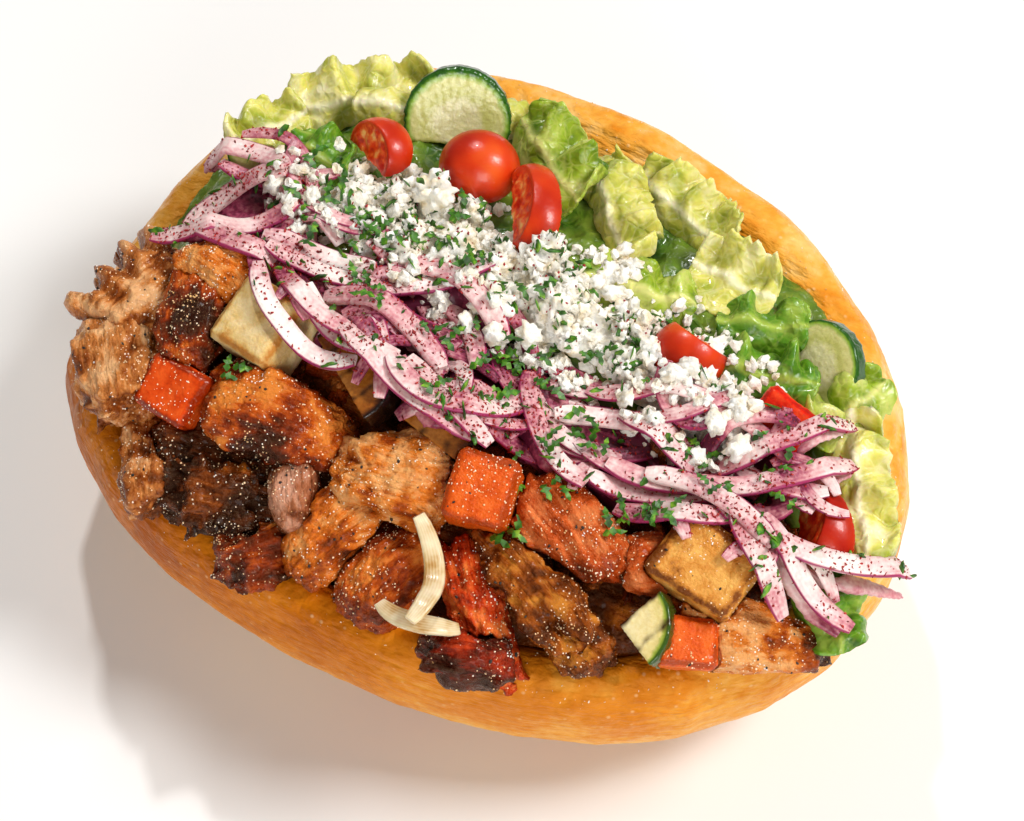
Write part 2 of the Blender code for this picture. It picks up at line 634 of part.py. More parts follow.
def ribbon(name, points, width, thick, colour, tip=0.45, section_shape=STRIP_SECTION):
    """A strip of the given width and thickness along the points, narrower at both ends."""
    profile = bpy.data.curves.new("section", "CURVE")
    outline = profile.splines.new("POLY")
    outline.points.add(len(section_shape) - 1)
    for point, (x, y) in zip(outline.points, section_shape):
        point.co = (x * width, y * thick, 0, 1)
    outline.use_cyclic_u = True
    section = bpy.data.objects.new("section", profile)
    cutters.objects.link(section)
    path = bpy.data.curves.new(name, "CURVE")
    path.dimensions = "3D"
    path.twist_mode = "Z_UP"
    path.bevel_mode = "OBJECT"
    path.bevel_object = section
    path.use_fill_caps = True
    line = path.splines.new("POLY")
    line.points.add(len(points) - 1)
    for index, (spot, point) in enumerate(zip(line.points, points)):
        spot.co = (*point, 1)
        end = min(index, len(points) - 1 - index)
        spot.radius = tip if end == 0 else 1
    curve = bpy.data.objects.new(name, path)
    sandwich.objects.link(curve)
    bpy.context.view_layer.update()
    bm = bmesh.new()
    bm.from_mesh(as_seen(curve))
    bpy.data.objects.remove(curve)
    bpy.data.objects.remove(section)
    bmesh.ops.remove_doubles(bm, verts=bm.verts, dist=0.01 * MM)
    return add_piece(name, bm, colour)


def fuse(name, pieces, colour, roughness):
    """One Boolean union of the pieces, as one object."""
    heap = bpy.data.collections.new(name)
    bpy.context.scene.collection.children.link(heap)
    for piece in pieces[1:]:
        sandwich.objects.unlink(piece)
        heap.objects.link(piece)
    base = pieces[0]
    base.name = name
    base.data.materials.clear()
    base.data.materials.append(material(name, colour, roughness))
    for solver, use_self in SOLVERS:
        join = base.modifiers.new("join", "BOOLEAN")
        join.operation = "UNION"
        join.operand_type = "COLLECTION"
        join.collection = heap
        join.solver = solver
        join.use_self = use_self
        bpy.context.view_layer.update()
        joined = as_seen(base)
        base.modifiers.clear()
        triangulate(joined)
        if volume(joined) > 0:
            break
    base.data = joined
    for piece in list(heap.objects):
        bpy.data.objects.remove(piece)
    bpy.data.collections.remove(heap)
    largest_body(base)
    return base


def bed(name, line, width, height, colour):
    """A low rounded ridge on the filling along a line in plan, given in millimetres."""
    points = []
    for (x0, y0), (x1, y1) in zip(line, line[1:]):
        for step in range(2):
            x, y = (x0 + (x1 - x0) * step / 2) * MM, (y0 + (y1 - y0) * step / 2) * MM
            points.append((x, y, filling_top(x, y) + 0.3 * height * MM))
    return ribbon(name, points, width * MM, height * MM, colour, section_shape=BED_SECTION)


# The filling's pieces


def make_meats():
    for seed, (name, m) in enumerate(MEATS.items()):
        bm = chunk(m["size"], seed, m.get("rough", 0.14), m.get("bend", 0), m.get("taper", 0))
        obj = add_piece(name, bm, m["colour"], roughness=0.35)
        set_down(obj, m["place"], m["turn"])
        loose.append(obj)


def make_vegetables():
    for seed, (name, d) in enumerate(DICE.items()):
        obj = add_piece(name, dice(d["size"], seed), d["colour"])
        set_down(obj, d["place"], d["turn"])
        loose.append(obj)
    for name, s in SLICES.items():
        obj = add_piece(name, round_slice(s["radius"], s["thick"], s["trim"]), s["colour"])
        set_down(obj, s["place"], s["turn"])
        loose.append(obj)
    for name, t in TOMATOES.items():
        obj = add_piece(name, tomato_piece(t["radius"], t["wedge"], t["stretch"]), TOMATO, roughness=0.2)
        set_down(obj, t["place"], t["turn"])
        loose.append(obj)


def make_lettuce():
    for seed, (name, leaf_size) in enumerate(LETTUCE_LEAVES.items()):
        bm = leaf(leaf_size["size"], leaf_size["curl"], leaf_size["ripple"], seed)
        obj = add_piece(name, bm, leaf_size["colour"], roughness=0.35)
        set_down(obj, leaf_size["place"], leaf_size["turn"])
        loose.append(obj)


def drape(plan, width, thick, trees=()):
    """Lifts a strip's points onto what lies below it: clear of the settled pieces, sunk a little
    into the strips it is fused with, and stiff between them."""
    heights = []
    for point in plan:
        floor = rest_height(point.x, point.y, width / 2) + STRIP_CLEAR * thick
        start = Vector((*point, 0.2))
        for tree in trees:
            hit = tree.ray_cast(start, Vector((0, 0, -1)))[0]
            if hit is not None:
                floor = max(floor, hit.z + STRIP_SINK * thick)
        heights.append(floor)
    last = len(plan) - 1
    points = []
    for index, (point, height) in enumerate(zip(plan, heights)):
        around = (heights[max(0, index - 1)] + heights[min(last, index + 1)]) / 2
        points.append(Vector((*point, max(height, (height + around) / 2))))
    for order in (range(1, last + 1), range(last - 1, -1, -1)):
        for index in order:
            before = points[index - 1 if order.step > 0 else index + 1]
            reach = (points[index] - before).to_2d().length
            points[index].z = max(points[index].z, before.z - STRIP_DROOP * reach)
    return points


def make_fried_onions():
    for name, f in FRIED_ONIONS.items():
        middle = (f["place"][0] * MM, f["place"][1] * MM)
        plan = arc_points(middle, f["length"] * MM, f["heading"], f["bend"], 5)
        width, thick = f["width"] * MM, f["thick"] * MM
        settle(ribbon(name, drape(plan, width, thick), width, thick, FRIED_ONION, tip=0.7))


def make_cheese():
    line = [Vector(point) * MM for point in CHEESE_BED]
    pieces = [bed("cheese_bed", CHEESE_BED, CHEESE_BED_WIDTH, CHEESE_BED_HEIGHT, CHEESE)]
    tree = surface(pieces[0])
    draw = random.Random(11)
    for index in range(CRUMBS):
        along = (index + draw.random()) / CRUMBS * (len(line) - 1)
        start = line[int(along)]
        spot = start.lerp(line[int(along) + 1], along - int(along))
        spot += Vector((draw.uniform(-1, 1), draw.uniform(-1, 1))) * CHEESE_BED_WIDTH * 0.5 * MM
        size = draw.uniform(*CRUMB_SIZES) * MM
        hit = tree.ray_cast(Vector((*spot, 0.2)), Vector((0, 0, -1)))[0]
        if hit is None:
            continue
        bm = bmesh.new()
        bmesh.ops.create_icosphere(bm, subdivisions=1, radius=size / 2)
        for v in bm.verts:
            v.co *= draw.uniform(0.8, 1.25)
        bmesh.ops.translate(bm, verts=bm.verts, vec=hit + Vector((0, 0, size * 0.25)))
        pieces.append(add_piece("crumb", bm, CHEESE))
    settle(fuse("feta_heap", pieces, CHEESE, 0.7), inside=False)


def make_onions():
    width, thick = ONION_WIDTH * MM, ONION_THICK * MM
    pieces = [bed("onion_bed", ONION_BED, ONION_BED_WIDTH, ONION_BED_HEIGHT, ONION)]
    trees = [surface(pieces[0])]
    for x, y, length, heading, bend in ONION_STRIPS:
        count = max(4, round(length / STRIP_STEP))
        plan = arc_points((x * MM, y * MM), length * MM, heading, bend, count)
        strip = ribbon("strip", drape(plan, width, thick, trees), width, thick, ONION)
        for _ in range(LOWERING_STEPS):
            if any(surface(strip).overlap(tree) for tree in trees):
                break
            strip.data.transform(Matrix.Translation((0, 0, -MM)))
        trees.append(surface(strip))
        pieces.append(strip)
    settle(fuse("onion_heap", pieces, ONION, 0.3), inside=False)


for old in list(bpy.data.objects):
    bpy.data.objects.remove(old)
sandwich = collection("kebab_sandwich")
cutters = collection("clearances")
settled = []
loose = []
make_bread()
make_core("meat_core", -1, MEAT_DARK)
make_core("salad_core", 1, LETTUCE)
make_vegetables()
make_meats()
make_lettuce()
for piece in loose:
    settle(piece)
make_fried_onions()
make_cheese()
make_onions()
for cutter in list(cutters.objects):
    bpy.data.objects.remove(cutter)
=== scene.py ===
import json
import math
import random
from functools import partial

import bmesh
import bpy
from mathutils import Matrix, Vector, noise
from mathutils.bvhtree import BVHTree

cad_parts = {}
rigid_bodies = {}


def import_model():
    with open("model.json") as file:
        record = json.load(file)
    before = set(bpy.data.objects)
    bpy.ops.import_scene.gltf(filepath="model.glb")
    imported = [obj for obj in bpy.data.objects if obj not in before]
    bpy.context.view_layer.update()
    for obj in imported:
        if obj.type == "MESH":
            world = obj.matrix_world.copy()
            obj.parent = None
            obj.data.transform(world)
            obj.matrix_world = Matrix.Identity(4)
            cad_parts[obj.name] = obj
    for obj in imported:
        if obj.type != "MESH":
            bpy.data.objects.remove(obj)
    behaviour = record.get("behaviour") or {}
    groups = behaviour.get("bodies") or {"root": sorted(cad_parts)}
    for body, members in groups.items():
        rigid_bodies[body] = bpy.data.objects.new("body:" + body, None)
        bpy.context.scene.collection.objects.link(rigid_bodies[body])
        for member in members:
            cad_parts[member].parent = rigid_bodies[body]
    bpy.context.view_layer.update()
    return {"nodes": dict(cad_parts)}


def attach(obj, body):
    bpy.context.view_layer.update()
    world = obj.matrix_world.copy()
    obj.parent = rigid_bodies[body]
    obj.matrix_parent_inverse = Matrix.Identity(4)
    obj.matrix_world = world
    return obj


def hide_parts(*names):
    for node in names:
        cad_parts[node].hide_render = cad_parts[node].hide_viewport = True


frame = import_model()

mm = 0.001
perMm = 1 / mm  # over a size in mm, this gives a pattern's scale
clumpSize = 40 / 3  # mm from clump to clump of what is strewn


def linear(hexColour):  # a hex colour as the renderer needs it
    parts = [int(hexColour[i:i + 2], 16) / 255 for i in (1, 3, 5)]
    return (*[c / 12.92 if c <= 0.04045 else ((c + 0.055) / 1.055) ** 2.4 for c in parts], 1)


def addNode(tree, kind, inputs=(), out=None, **settings):  # inputs by name or in order
    node = tree.nodes.new(kind)
    for key, value in settings.items():
        if key == "stops":  # a colour ramp's places and colours
            marks = node.color_ramp.elements
            while len(marks) > 1:
                marks.remove(marks[-1])
            for index, (place, colour) in enumerate(value):
                mark = marks[0] if index == 0 else marks.new(place)
                mark.position = place
                mark.color = linear(colour)
        else:
            setattr(node, key, value)
    for key, value in inputs.items() if isinstance(inputs, dict) else enumerate(inputs):
        if isinstance(value, bpy.types.NodeSocket):
            tree.links.new(value, node.inputs[key])
        elif isinstance(value, str) and value.startswith("#"):
            node.inputs[key].default_value = linear(value)
        else:
            node.inputs[key].default_value = value
    return node if out is None else node.outputs[out]


def plainMaterial(name, constants):
    made = bpy.data.materials.new(name)
    made.use_nodes = True
    for socket, value in constants.items():
        made.node_tree.nodes["Principled BSDF"].inputs[socket].default_value = value
    return made


def newMaterial(name, constants, **kept):  # also gives what patterns follow: place and kept values
    made = plainMaterial(name, constants)
    add = partial(addNode, made.node_tree)
    place = add("ShaderNodeTexCoord", out="Object")
    values = [add("ShaderNodeAttribute", out=out, attribute_name=key) for key, out in kept.items()]
    return made, add, place, *values


def dressMaterial(made, sources, height=None, strength=0, distance=0):  # patterns and relief in mm
    tree = made.node_tree
    if height is not None:
        sources["Normal"] = addNode(tree, "ShaderNodeBump", {
            "Height": height, "Strength": strength, "Distance": distance * mm}, "Normal")
    for socket, source in sources.items():
        tree.links.new(source, tree.nodes["Principled BSDF"].inputs[socket])
    return made


def weighed(add, total, *parts):  # a sum to which each part adds its own share
    for part, share in parts:
        total = add("ShaderNodeMath", (part, share, total), 0, operation="MULTIPLY_ADD")
    return total


def litWithin(weight, depth, tint):  # how much light enters, how deep in mm, and how far each colour goes
    return {"Subsurface Weight": weight, "Subsurface Scale": depth * mm, "Subsurface Radius": tint}


def newPiece(name, mesh, material=None):
    obj = bpy.data.objects.new(name, mesh)
    bpy.context.scene.collection.objects.link(obj)
    if material:
        obj.data.materials.clear()
        obj.data.materials.append(material)
    return obj


def meshOf(bm, name):
    mesh = bpy.data.meshes.new(name)
    bm.to_mesh(mesh)
    bm.free()
    return mesh


def bakeModifiers(obj):
    graph = bpy.context.evaluated_depsgraph_get()
    mesh = bpy.data.meshes.new_from_object(obj.evaluated_get(graph))
    obj.modifiers.clear()
    old, obj.data = obj.data, mesh
    bpy.data.meshes.remove(old)
    return obj


def coat(obj, finish):  # gives a piece its material and smooth shading
    obj.data.materials.append(finish)
    obj.data.shade_smooth()


def finishPiece(obj, slot, *nodes):
    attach(obj, "root")
    if nodes:
        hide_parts(*nodes)


def softened(name, node, voxel, rounds, cut=None):  # a finely meshed, rounded copy of a solid
    bm = bmesh.new()
    bm.from_mesh(frame["nodes"][node].data)
    bmesh.ops.remove_doubles(bm, verts=bm.verts, dist=0.01 * mm)
    if cut:  # a knife cut: the side it faces and how far from the middle, in mm
        middle = sum((v.co for v in bm.verts), Vector()) / len(bm.verts)
        facing = Vector(cut[:3]).normalized()
        bmesh.ops.bisect_plane(
            bm, geom=bm.verts[:] + bm.edges[:] + bm.faces[:], plane_co=middle + facing * cut[3] * mm,
            plane_no=facing, clear_outer=True)
        bmesh.ops.holes_fill(bm, edges=[edge for edge in bm.edges if edge.is_boundary])
    obj = newPiece(name, meshOf(bm, name))
    remesh = obj.modifiers.new("remesh", "REMESH")
    remesh.mode = "VOXEL"
    remesh.voxel_size = voxel * mm
    if rounds:
        smooth = obj.modifiers.new("smooth", "SMOOTH")
        smooth.factor = 0.5
        smooth.iterations = rounds
    return bakeModifiers(obj)


def shapeAt(place, size, seed):  # soft noise, -1 to 1, whose bumps are about this many mm wide
    return noise.noise(place / size + Vector((seed * 3.7, seed * 1.9, seed * 5.3)))


def ridgeAt(place, size, seed):  # the same noise folded into ridges, -1 to 1
    return 1 - 2 * abs(shapeAt(place, size, seed))


def clamp(share):
    return max(0, min(1, share))


def writeAttribute(mesh, name, values):  # numbers, or vectors one after another
    isVector = len(values) == 3 * len(mesh.vertices)
    layer = mesh.attributes.new(name, "FLOAT_VECTOR" if isVector else "FLOAT", "POINT")
    layer.data.foreach_set("vector" if isVector else "value", values)


def reshape(obj, rule):  # moves each vertex out along its normal by what the rule says, in mm
    mesh = obj.data
    normals = [normal.vector.copy() for normal in mesh.vertex_normals]
    moved = []
    for v, normal in zip(mesh.vertices, normals):
        moved.extend(v.co + normal * rule(v.co / mm, normal) * mm)
    mesh.vertices.foreach_set("co", moved)
    mesh.update()


def dressPiece(obj, rule, finish, node, **values):  # relief, what its material reads, and the imported part it stands for, which it hides
    reshape(obj, rule)
    for name, numbers in values.items():
        writeAttribute(obj.data, name, numbers)
    coat(obj, finish)
    finishPiece(obj, node, node)


def treeOf(*objs):  # the pieces' surfaces, to find what lies where
    verts, faces = [], []
    for obj in objs:
        start = len(verts)
        verts += [v.co.copy() for v in obj.data.vertices]
        faces += [[start + i for i in p.vertices] for p in obj.data.polygons]
    return BVHTree.FromPolygons(verts, faces)


def topAt(x, y, trees):  # how high the pieces reach at a spot
    best = -1.0
    for tree in trees:
        hit = tree.ray_cast(Vector((x, y, 0.2)), Vector((0, 0, -1)))[0]
        if hit is not None:
            best = max(best, hit.z)
    return best


fillingFall = {"height": 81, "line": 14, "near": 4.6, "far": 2.2, "end": 16, "reach": 102}


def fillingTop(x, y):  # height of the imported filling, all in mm
    f = fillingFall
    fall = f["near"] if y < f["line"] else f["far"]
    return f["height"] - fall * (y - f["line"]) ** 2 / 1000 - f["end"] * abs(x / f["reach"]) ** 3


def placed(place, turn):  # where a piece lies: mm over the filling, heading, nose up and roll
    heading, noseUp, roll = (math.radians(angle) for angle in turn)
    spin = Matrix.Rotation(heading, 4, "Z") @ Matrix.Rotation(-noseUp, 4, "Y") @ Matrix.Rotation(roll, 4, "X")
    spot = Vector((place[0], place[1], fillingTop(place[0], place[1]) + place[2])) * mm
    return Matrix.Translation(spot) @ spin


bread = {
    "voxel": 1.15, "rounds": 16,
    "dents": 0.9, "dentSize": 24,
    "wrinkles": 0.42, "wrinkleWidth": 3.6, "wrinkleLength": 38,
    "pits": 0.2, "pitSize": 3.2,
}


def bakedBread():
    # Flatbread from a hot stone oven, brushed with oil: a thin golden skin, browner in a belt along the near
    # wall and towards its left and paler low on the near side (partly oven browning, partly painted shade and
    # light), with fine wrinkles, pale blisters and a soft oily shine.
    made, add, place, flow, bake = newMaterial("oven-baked flatbread", {
        "IOR": 1.36, "Specular Tint": linear("#FFCE98")}, flow="Vector", bake="Fac")
    patches = add("ShaderNodeTexNoise", {"Vector": place, "Scale": perMm / 20.8, "Detail": 4}, "Fac")
    mottle = add("ShaderNodeTexNoise", {"Vector": place, "Scale": perMm / 2.38, "Detail": 5}, "Fac")
    streaks = add("ShaderNodeTexNoise", {"Vector": flow, "Scale": 1, "Detail": 4}, "Fac")
    tone = weighed(add, bake, (patches, 0.62), (mottle, 0.22), (streaks, 0.3))
    colour = add("ShaderNodeValToRGB", {"Fac": tone}, "Color", stops=[
        (0.36, "#F6C678"), (0.5, "#EEA53C"), (0.64, "#DE8418"), (0.8, "#CA6E06"), (0.96, "#AA5200"),
    ])
    freckles = add("ShaderNodeTexVoronoi", {"Vector": place, "Scale": perMm / 3.85}, "Distance")
    fleck = add("ShaderNodeMapRange", (freckles, 0.06, 0.16, 0.35, 0.0), 0)
    speckled = add("ShaderNodeMix", {0: fleck, 6: colour, 7: "#FBE0AC"}, 2, data_type="RGBA")
    gloss = add("ShaderNodeMapRange", (mottle, 0.35, 0.65, 0.3, 0.52), 0)
    height = weighed(add, mottle, (freckles, -0.9), (streaks, 2.4))
    return dressMaterial(made, {"Base Color": speckled, "Roughness": gloss}, height, 0.75, 0.8)


def makeBread():  # the opened flatbread, dented, with wrinkles that run round its lip
    b = bread
    obj = softened("flatbread", "bread", b["voxel"], b["rounds"])
    flows, bakes = [], []

    def wrinkled(p, normal):
        around = math.atan2(p.y / 78, p.x / 108)
        out = math.hypot(p.x / 108, p.y / 78)
        along = Vector((math.cos(around), math.sin(around), 0)) * 95 / b["wrinkleLength"]
        across = Vector((0, 0, (p.z + out * 40) / b["wrinkleWidth"]))
        lip = clamp((p.z - 30) / 30)
        wrinkle = noise.noise(along + across) + 0.5 * noise.noise(along * 1.7 + across * 1.9)
        lift = b["dents"] * shapeAt(p, b["dentSize"], 1) + b["pits"] * shapeAt(p, b["pitSize"], 2)
        lift += b["wrinkles"] * lip * (wrinkle if p.x > -60 else 0.5 * wrinkle)
        flows.extend(along * 6 + across * 2.2)
        # painted shade and light: the near wall is darker in a belt at mid-height and towards the left, and
        # paler low down; partly oven browning
        low = clamp(1 - p.z / 60)
        nearSide = clamp(-p.y / 60)
        toLeft = clamp((70 - p.x) / 90)
        belt = math.exp(-((p.z - 46) / 20) ** 2)
        bakes.append(-0.06 + nearSide * belt * (0.12 + 0.26 * toLeft) - 0.06 * nearSide * low - 0.02 * lip)
        return lift if p.z > 2 else 0

    dressPiece(obj, wrinkled, bakedBread(), "bread", bake=bakes, flow=flows)


meatTones = {  # pale side, glaze, browned crust, char
    "tan": ("#EEB47C", "#D0803E", "#8C400C", "#3C1202"),
    "peach": ("#F4AC66", "#E27C24", "#A84204", "#461402"),
    "orange": ("#F4A458", "#E07218", "#A84204", "#441402"),
    "ham": ("#EA8044", "#CE541A", "#A03404", "#541802"),
    "glazed": ("#E68430", "#C25006", "#842602", "#401002"),
    "pink": ("#D89A7C", "#B06844", "#7A3616", "#300E04"),
    "red": ("#F0762E", "#D03A08", "#8E1A02", "#440A02"),
    "brown": ("#D08028", "#A04C0A", "#622602", "#2A0C02"),
    "dark": ("#B86210", "#803602", "#4E1A00", "#2A0A00"),
}
# tone, grain heading, how browned it is, how craggy, how stringy; then the slices' thickness, how
# far the fringe stands out, or a charred spot (x, y, radius), in mm
meats = {
    "meat_core_chunk": ("dark", 12, 0.5, 1.5, 0.7, {}),
    "meat_long_fillet": ("peach", 16, 0.12, 0.7, 0.7, {"char": (105, -34, 9)}),
    "meat_brown_knuckle": ("brown", -20, 0.4, 1.3, 0.9, {}),
    "meat_burnt_tip": ("red", 16, 0.62, 1.3, 1.0, {}),
    "meat_red_shred": ("red", -50, 0.3, 0.5, 2.3, {}),
    "meat_green_shred": ("brown", -24, 0.36, 1.4, 1.2, {}),
    "meat_sliced_stack": ("ham", -30, 0.3, 0.35, 0.25, {"layers": 5.5}),
    "meat_pink_round": ("ham", 31, 0.16, 0.4, 0.3, {}),
    "meat_dark_crust": ("dark", 19, 0.5, 1.8, 0.8, {}),
    "meat_amber_bit": ("glazed", 42, 0.5, 1.3, 0.8, {}),
    "meat_pink_slab": ("pink", -60, 0.3, 0.5, 0.5, {}),
    "meat_rim_scrap": ("tan", -60, 0.46, 1.4, 0.9, {}),
    "meat_roast_strip": ("glazed", -108, 0.36, 0.8, 1.1, {}),
    "meat_pepper_strip": ("orange", -112, 0.36, 1.1, 0.9, {}),
    "meat_pale_flap": ("peach", 12, 0.2, 1.1, 0.8, {"layers": 6.0}),
    "meat_glazed_breast": ("glazed", 4, 0.3, 1.0, 0.6, {"char": (-30, -52, 6)}),
    "meat_charred_strip": ("glazed", -76, 0.46, 1.3, 0.9, {"char": (-56, -32, 6)}),
    "meat_orange_fold": ("orange", -10, 0.3, 1.1, 0.8, {}),
    "meat_left_block": ("tan", -54, 0.3, 1.2, 0.7, {}),
    "meat_scalloped": ("tan", -104, 0.3, 1.1, 0.6, {"scallops": 3.0}),
}
meatMesh = {"voxel": 0.5, "rounds": 6, "cragSize": 5.5, "pitSize": 1.3}
scraps = {  # crisp ends and shreds that fill the gaps
    # tone, how many in a square metre, seed; then smallest, largest, lift (mm), steepest, clumping
    "tones": [("glazed", 7000.0, 61), ("brown", 7000.0, 62), ("tan", 4000.0, 63)],
    "strewn": (2.5, 6.5, 0.4, 0.2, 0.0),
    "grain": (0.7, 3.0, 1.7, 0.7, 0.5, 3.5),
    "brown": 0.4,
}


def roastMeat(name, tones):
    # Chicken and lamb off the grill, basted: pale and moist inside, an amber glaze outside, browned on the
    # ridges and black where the flame reached, with painted shade darkening the hollows and painted light
    # paling the tops, wet with fat and rough with crisp grain.
    made, add, place, browning, along = newMaterial(name, {
        "IOR": 1.5, "Specular Tint": linear("#FFD09C"), "Coat Weight": 0.1, "Coat Roughness": 0.05,
        **litWithin(0.06, 1.5, (1.0, 0.35, 0.1)),
    }, browning="Fac", fibres="Vector")
    blotch = add("ShaderNodeTexNoise", {
        "Vector": place, "Scale": perMm / 4.76, "Detail": 6, "Roughness": 0.62}, "Fac")
    fibre = add("ShaderNodeTexNoise", {"Vector": along, "Scale": 1, "Detail": 5}, "Fac")
    crisp = add("ShaderNodeTexNoise", {
        "Vector": place, "Scale": perMm / 0.909, "Detail": 4, "Roughness": 0.6}, "Fac")
    tone = weighed(add, browning, (blotch, 0.75), (fibre, 0.5))
    shifted = add("ShaderNodeMath", (tone, 0.55), 0, operation="SUBTRACT")
    colour = add("ShaderNodeValToRGB", {"Fac": shifted}, "Color", stops=[
        *zip((0.12, 0.3, 0.48, 0.72), tones), (0.98, "#2A0802")])
    wet = add("ShaderNodeMapRange", (shifted, 0.2, 0.7, 0.3, 0.1), 0)  # the fat lies wettest on the char
    height = weighed(add, crisp, (fibre, 1.2))
    return dressMaterial(made, {"Base Color": colour, "Roughness": wet}, height, 1.0, 1.0)


def carveMeat(obj, grain, browned, crag, strings, extra, seed):
    # Crags, pits and strings along the grain, and where it is browned, with painted shade in the hollows and
    # painted light on the tops.
    turn = Matrix.Rotation(-math.radians(grain), 3, "Z")
    brownsAndShades, fibres = [], []

    def carved(p, normal):
        local = turn @ p
        lump = shapeAt(p, meatMesh["cragSize"] * 1.6, seed)
        ridge = ridgeAt(p, meatMesh["cragSize"], seed + 9)
        small = ridgeAt(p, meatMesh["cragSize"] / 2.3, seed + 17)
        string = noise.noise(Vector((local.x / 10, local.y / 1.7, local.z / 1.7)) + Vector((seed, 0, 0)))
        string += 0.5 * noise.noise(Vector((local.x / 6, local.y / 0.9, local.z / 0.9)))
        pit = shapeAt(p, meatMesh["pitSize"], seed + 4)
        lift = crag * (1.0 * lump + 0.7 * (ridge - 0.4) + 0.42 * (small - 0.4))
        lift += strings * 0.75 * string + 0.2 * pit
        if "layers" in extra:  # cut slices leaning on each other
            step = (local.y + 0.7 * local.z + 1.6 * lump) / extra["layers"] % 1
            lift += 1.4 * (step - 0.5) if step < 0.86 else 1.4 * (0.36 - (step - 0.86) * 6)
        if "scallops" in extra:
            side = max(0, -local.y + (turn @ Vector((-75, -24, 0))).y) / 8
            lift += extra["scallops"] * min(1, side) * math.sin(local.x * math.tau / 7.5)
        # painted shade: browner in the hollows between crags and ridges; painted light: paler where it faces
        # up; the rest is browning
        brown = browned + 0.34 * shapeAt(p, 8, seed + 2) + 0.1 * (0.4 - ridge) * crag + 0.12 * string
        brown += 0.2 * max(0, 0.1 - 0.9 * lump - 0.5 * (ridge - 0.4)) - 0.08 * max(0, normal.z)
        if "char" in extra:
            x, y, reach = extra["char"]
            off = math.hypot(p.x - x, p.y - y) / reach + 0.9 * shapeAt(p, 5, seed) + 0.4 * shapeAt(p, 2, seed)
            brown += 0.5 * clamp(1.5 - 1.1 * off)
        brownsAndShades.append(brown)
        fibres.extend((local.x / 5, local.y / 0.9, local.z / 0.9))
        return lift

    reshape(obj, carved)
    writeAttribute(obj.data, "browning", brownsAndShades)
    writeAttribute(obj.data, "fibres", fibres)


def makeMeats():  # the pieces of meat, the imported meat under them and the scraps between
    finishes = {name: roastMeat(f"roast meat, {name}", tones) for name, tones in meatTones.items()}
    for seed, (node, (tone, *carving)) in enumerate(meats.items()):
        obj = softened(node.replace("meat_", "roast_"), node, meatMesh["voxel"], meatMesh["rounds"])
        carveMeat(obj, *carving, seed)
        coat(obj, finishes[tone])
        finishPiece(obj, node, node)
    under = softened("packed_meat", "meat_core", 0.9, 3)
    brownsAndShades, fibres = [], []

    def lumpy(p, normal):
        ridge = ridgeAt(p, 9, 3)
        # painted shade: darker off the ridges, in the hollows
        brownsAndShades.append(0.42 + 0.3 * shapeAt(p, 8, 7) - 0.12 * ridge)
        fibres.extend((p.x / 5, p.y / 1.5, p.z / 1.5))
        return max(0, normal.z) * (2.6 * ridge - 1.0 + 1.2 * shapeAt(p, 4, 5)) + 0.2 * shapeAt(p, 1.4, 6)

    # painted shade: the meat under the pieces takes the darkest roast finish, so the gaps between the pieces
    # read as shadow
    dressPiece(under, lumpy, finishes["dark"], "meat_core", browning=brownsAndShades, fibres=fibres)
    for index, (tone, density, seed) in enumerate(scraps["tones"]):
        grain = newGrain(3, scraps["grain"], index)
        verts = grain.data.vertices
        writeAttribute(grain.data, "browning", [scraps["brown"]] * len(verts))
        writeAttribute(grain.data, "fibres", [
            part for v in verts for part in (v.co.x * 3, v.co.y * 9, v.co.z * 9)])
        amount = (density, *scraps["strewn"], seed)
        bits = strew("meat_scraps_" + tone, under, grain, finishes[tone], amount)
        bits.data.shade_smooth()
        finishPiece(bits, "meat_core")


diceCuts = {  # place, size, turn, finish
    "pepper_dice": ((-54, -44, 8), (16, 13, 13), (-6, 0, 26), "pepper"),
    "carrot_dice_large": ((22, -38, 8), (15, 16, 15), (10, -4, 24), "carrot"),
    "carrot_dice_small": ((76, -45, 6), (14, 11, 11), (24, -6, 22), "carrot"),
    "potato_dice_left": ((-41, -25, 9), (18, 17, 14), (-10, 4, 20), "pale potato"),
    "potato_dice_right": ((74, -31, 8), (21, 17, 13), (-8, -8, 18), "potato"),
    "tomato_right": ((75, 6, 7), (15, 12, 12), (-14, -8, 24), "tomato"),
}
diceTones = {  # face, shaded face, browned edge, bump, roughness, coat
    "pepper": ("#E65A1C", "#D0400A", "#8E2404", 0.5, 0.2, 0.2),
    "carrot": ("#E8661C", "#D44C08", "#A83A04", 0.9, 0.34, 0.15),
    "pale potato": ("#EAD09A", "#DDB872", "#C08038", 0.5, 0.4, 0.1),
    "potato": ("#E8AE58", "#CE8430", "#7A3C0A", 1.0, 0.34, 0.1),
    "tomato": ("#F04C22", "#DE1E06", "#B41004", 0.4, 0.14, 0.6),
}
diceMesh = {"voxel": 0.45, "rounds": 1, "lumps": 0.35, "grain": 0.16}


def roastCut(name, tones):
    # Vegetables fried in dice: the cut faces stay bright, the edges brown first.
    *colours, relief, roughness, coatWeight = tones
    made, add, place, edge = newMaterial(f"roast dice, {name}", {
        "Roughness": roughness, "IOR": 1.4, "Coat Weight": coatWeight, "Coat Roughness": 0.12,
        "Specular Tint": linear("#FFE0B8"), **litWithin(0.2, 3, (1.0, 0.5, 0.2)),
    }, edge="Fac")
    blotch = add("ShaderNodeTexNoise", {"Vector": place, "Scale": perMm / 3.85, "Detail": 5}, "Fac")
    grain = add("ShaderNodeTexNoise", {"Vector": place, "Scale": perMm / 0.6667, "Detail": 3}, "Fac")
    tone = weighed(add, blotch, (edge, 0.55), (grain, 0.3))
    colour = add("ShaderNodeValToRGB", {"Fac": tone}, "Color", stops=list(zip((0.5, 0.78, 1.0), colours)))
    return dressMaterial(made, {"Base Color": colour}, grain, relief, 0.5)


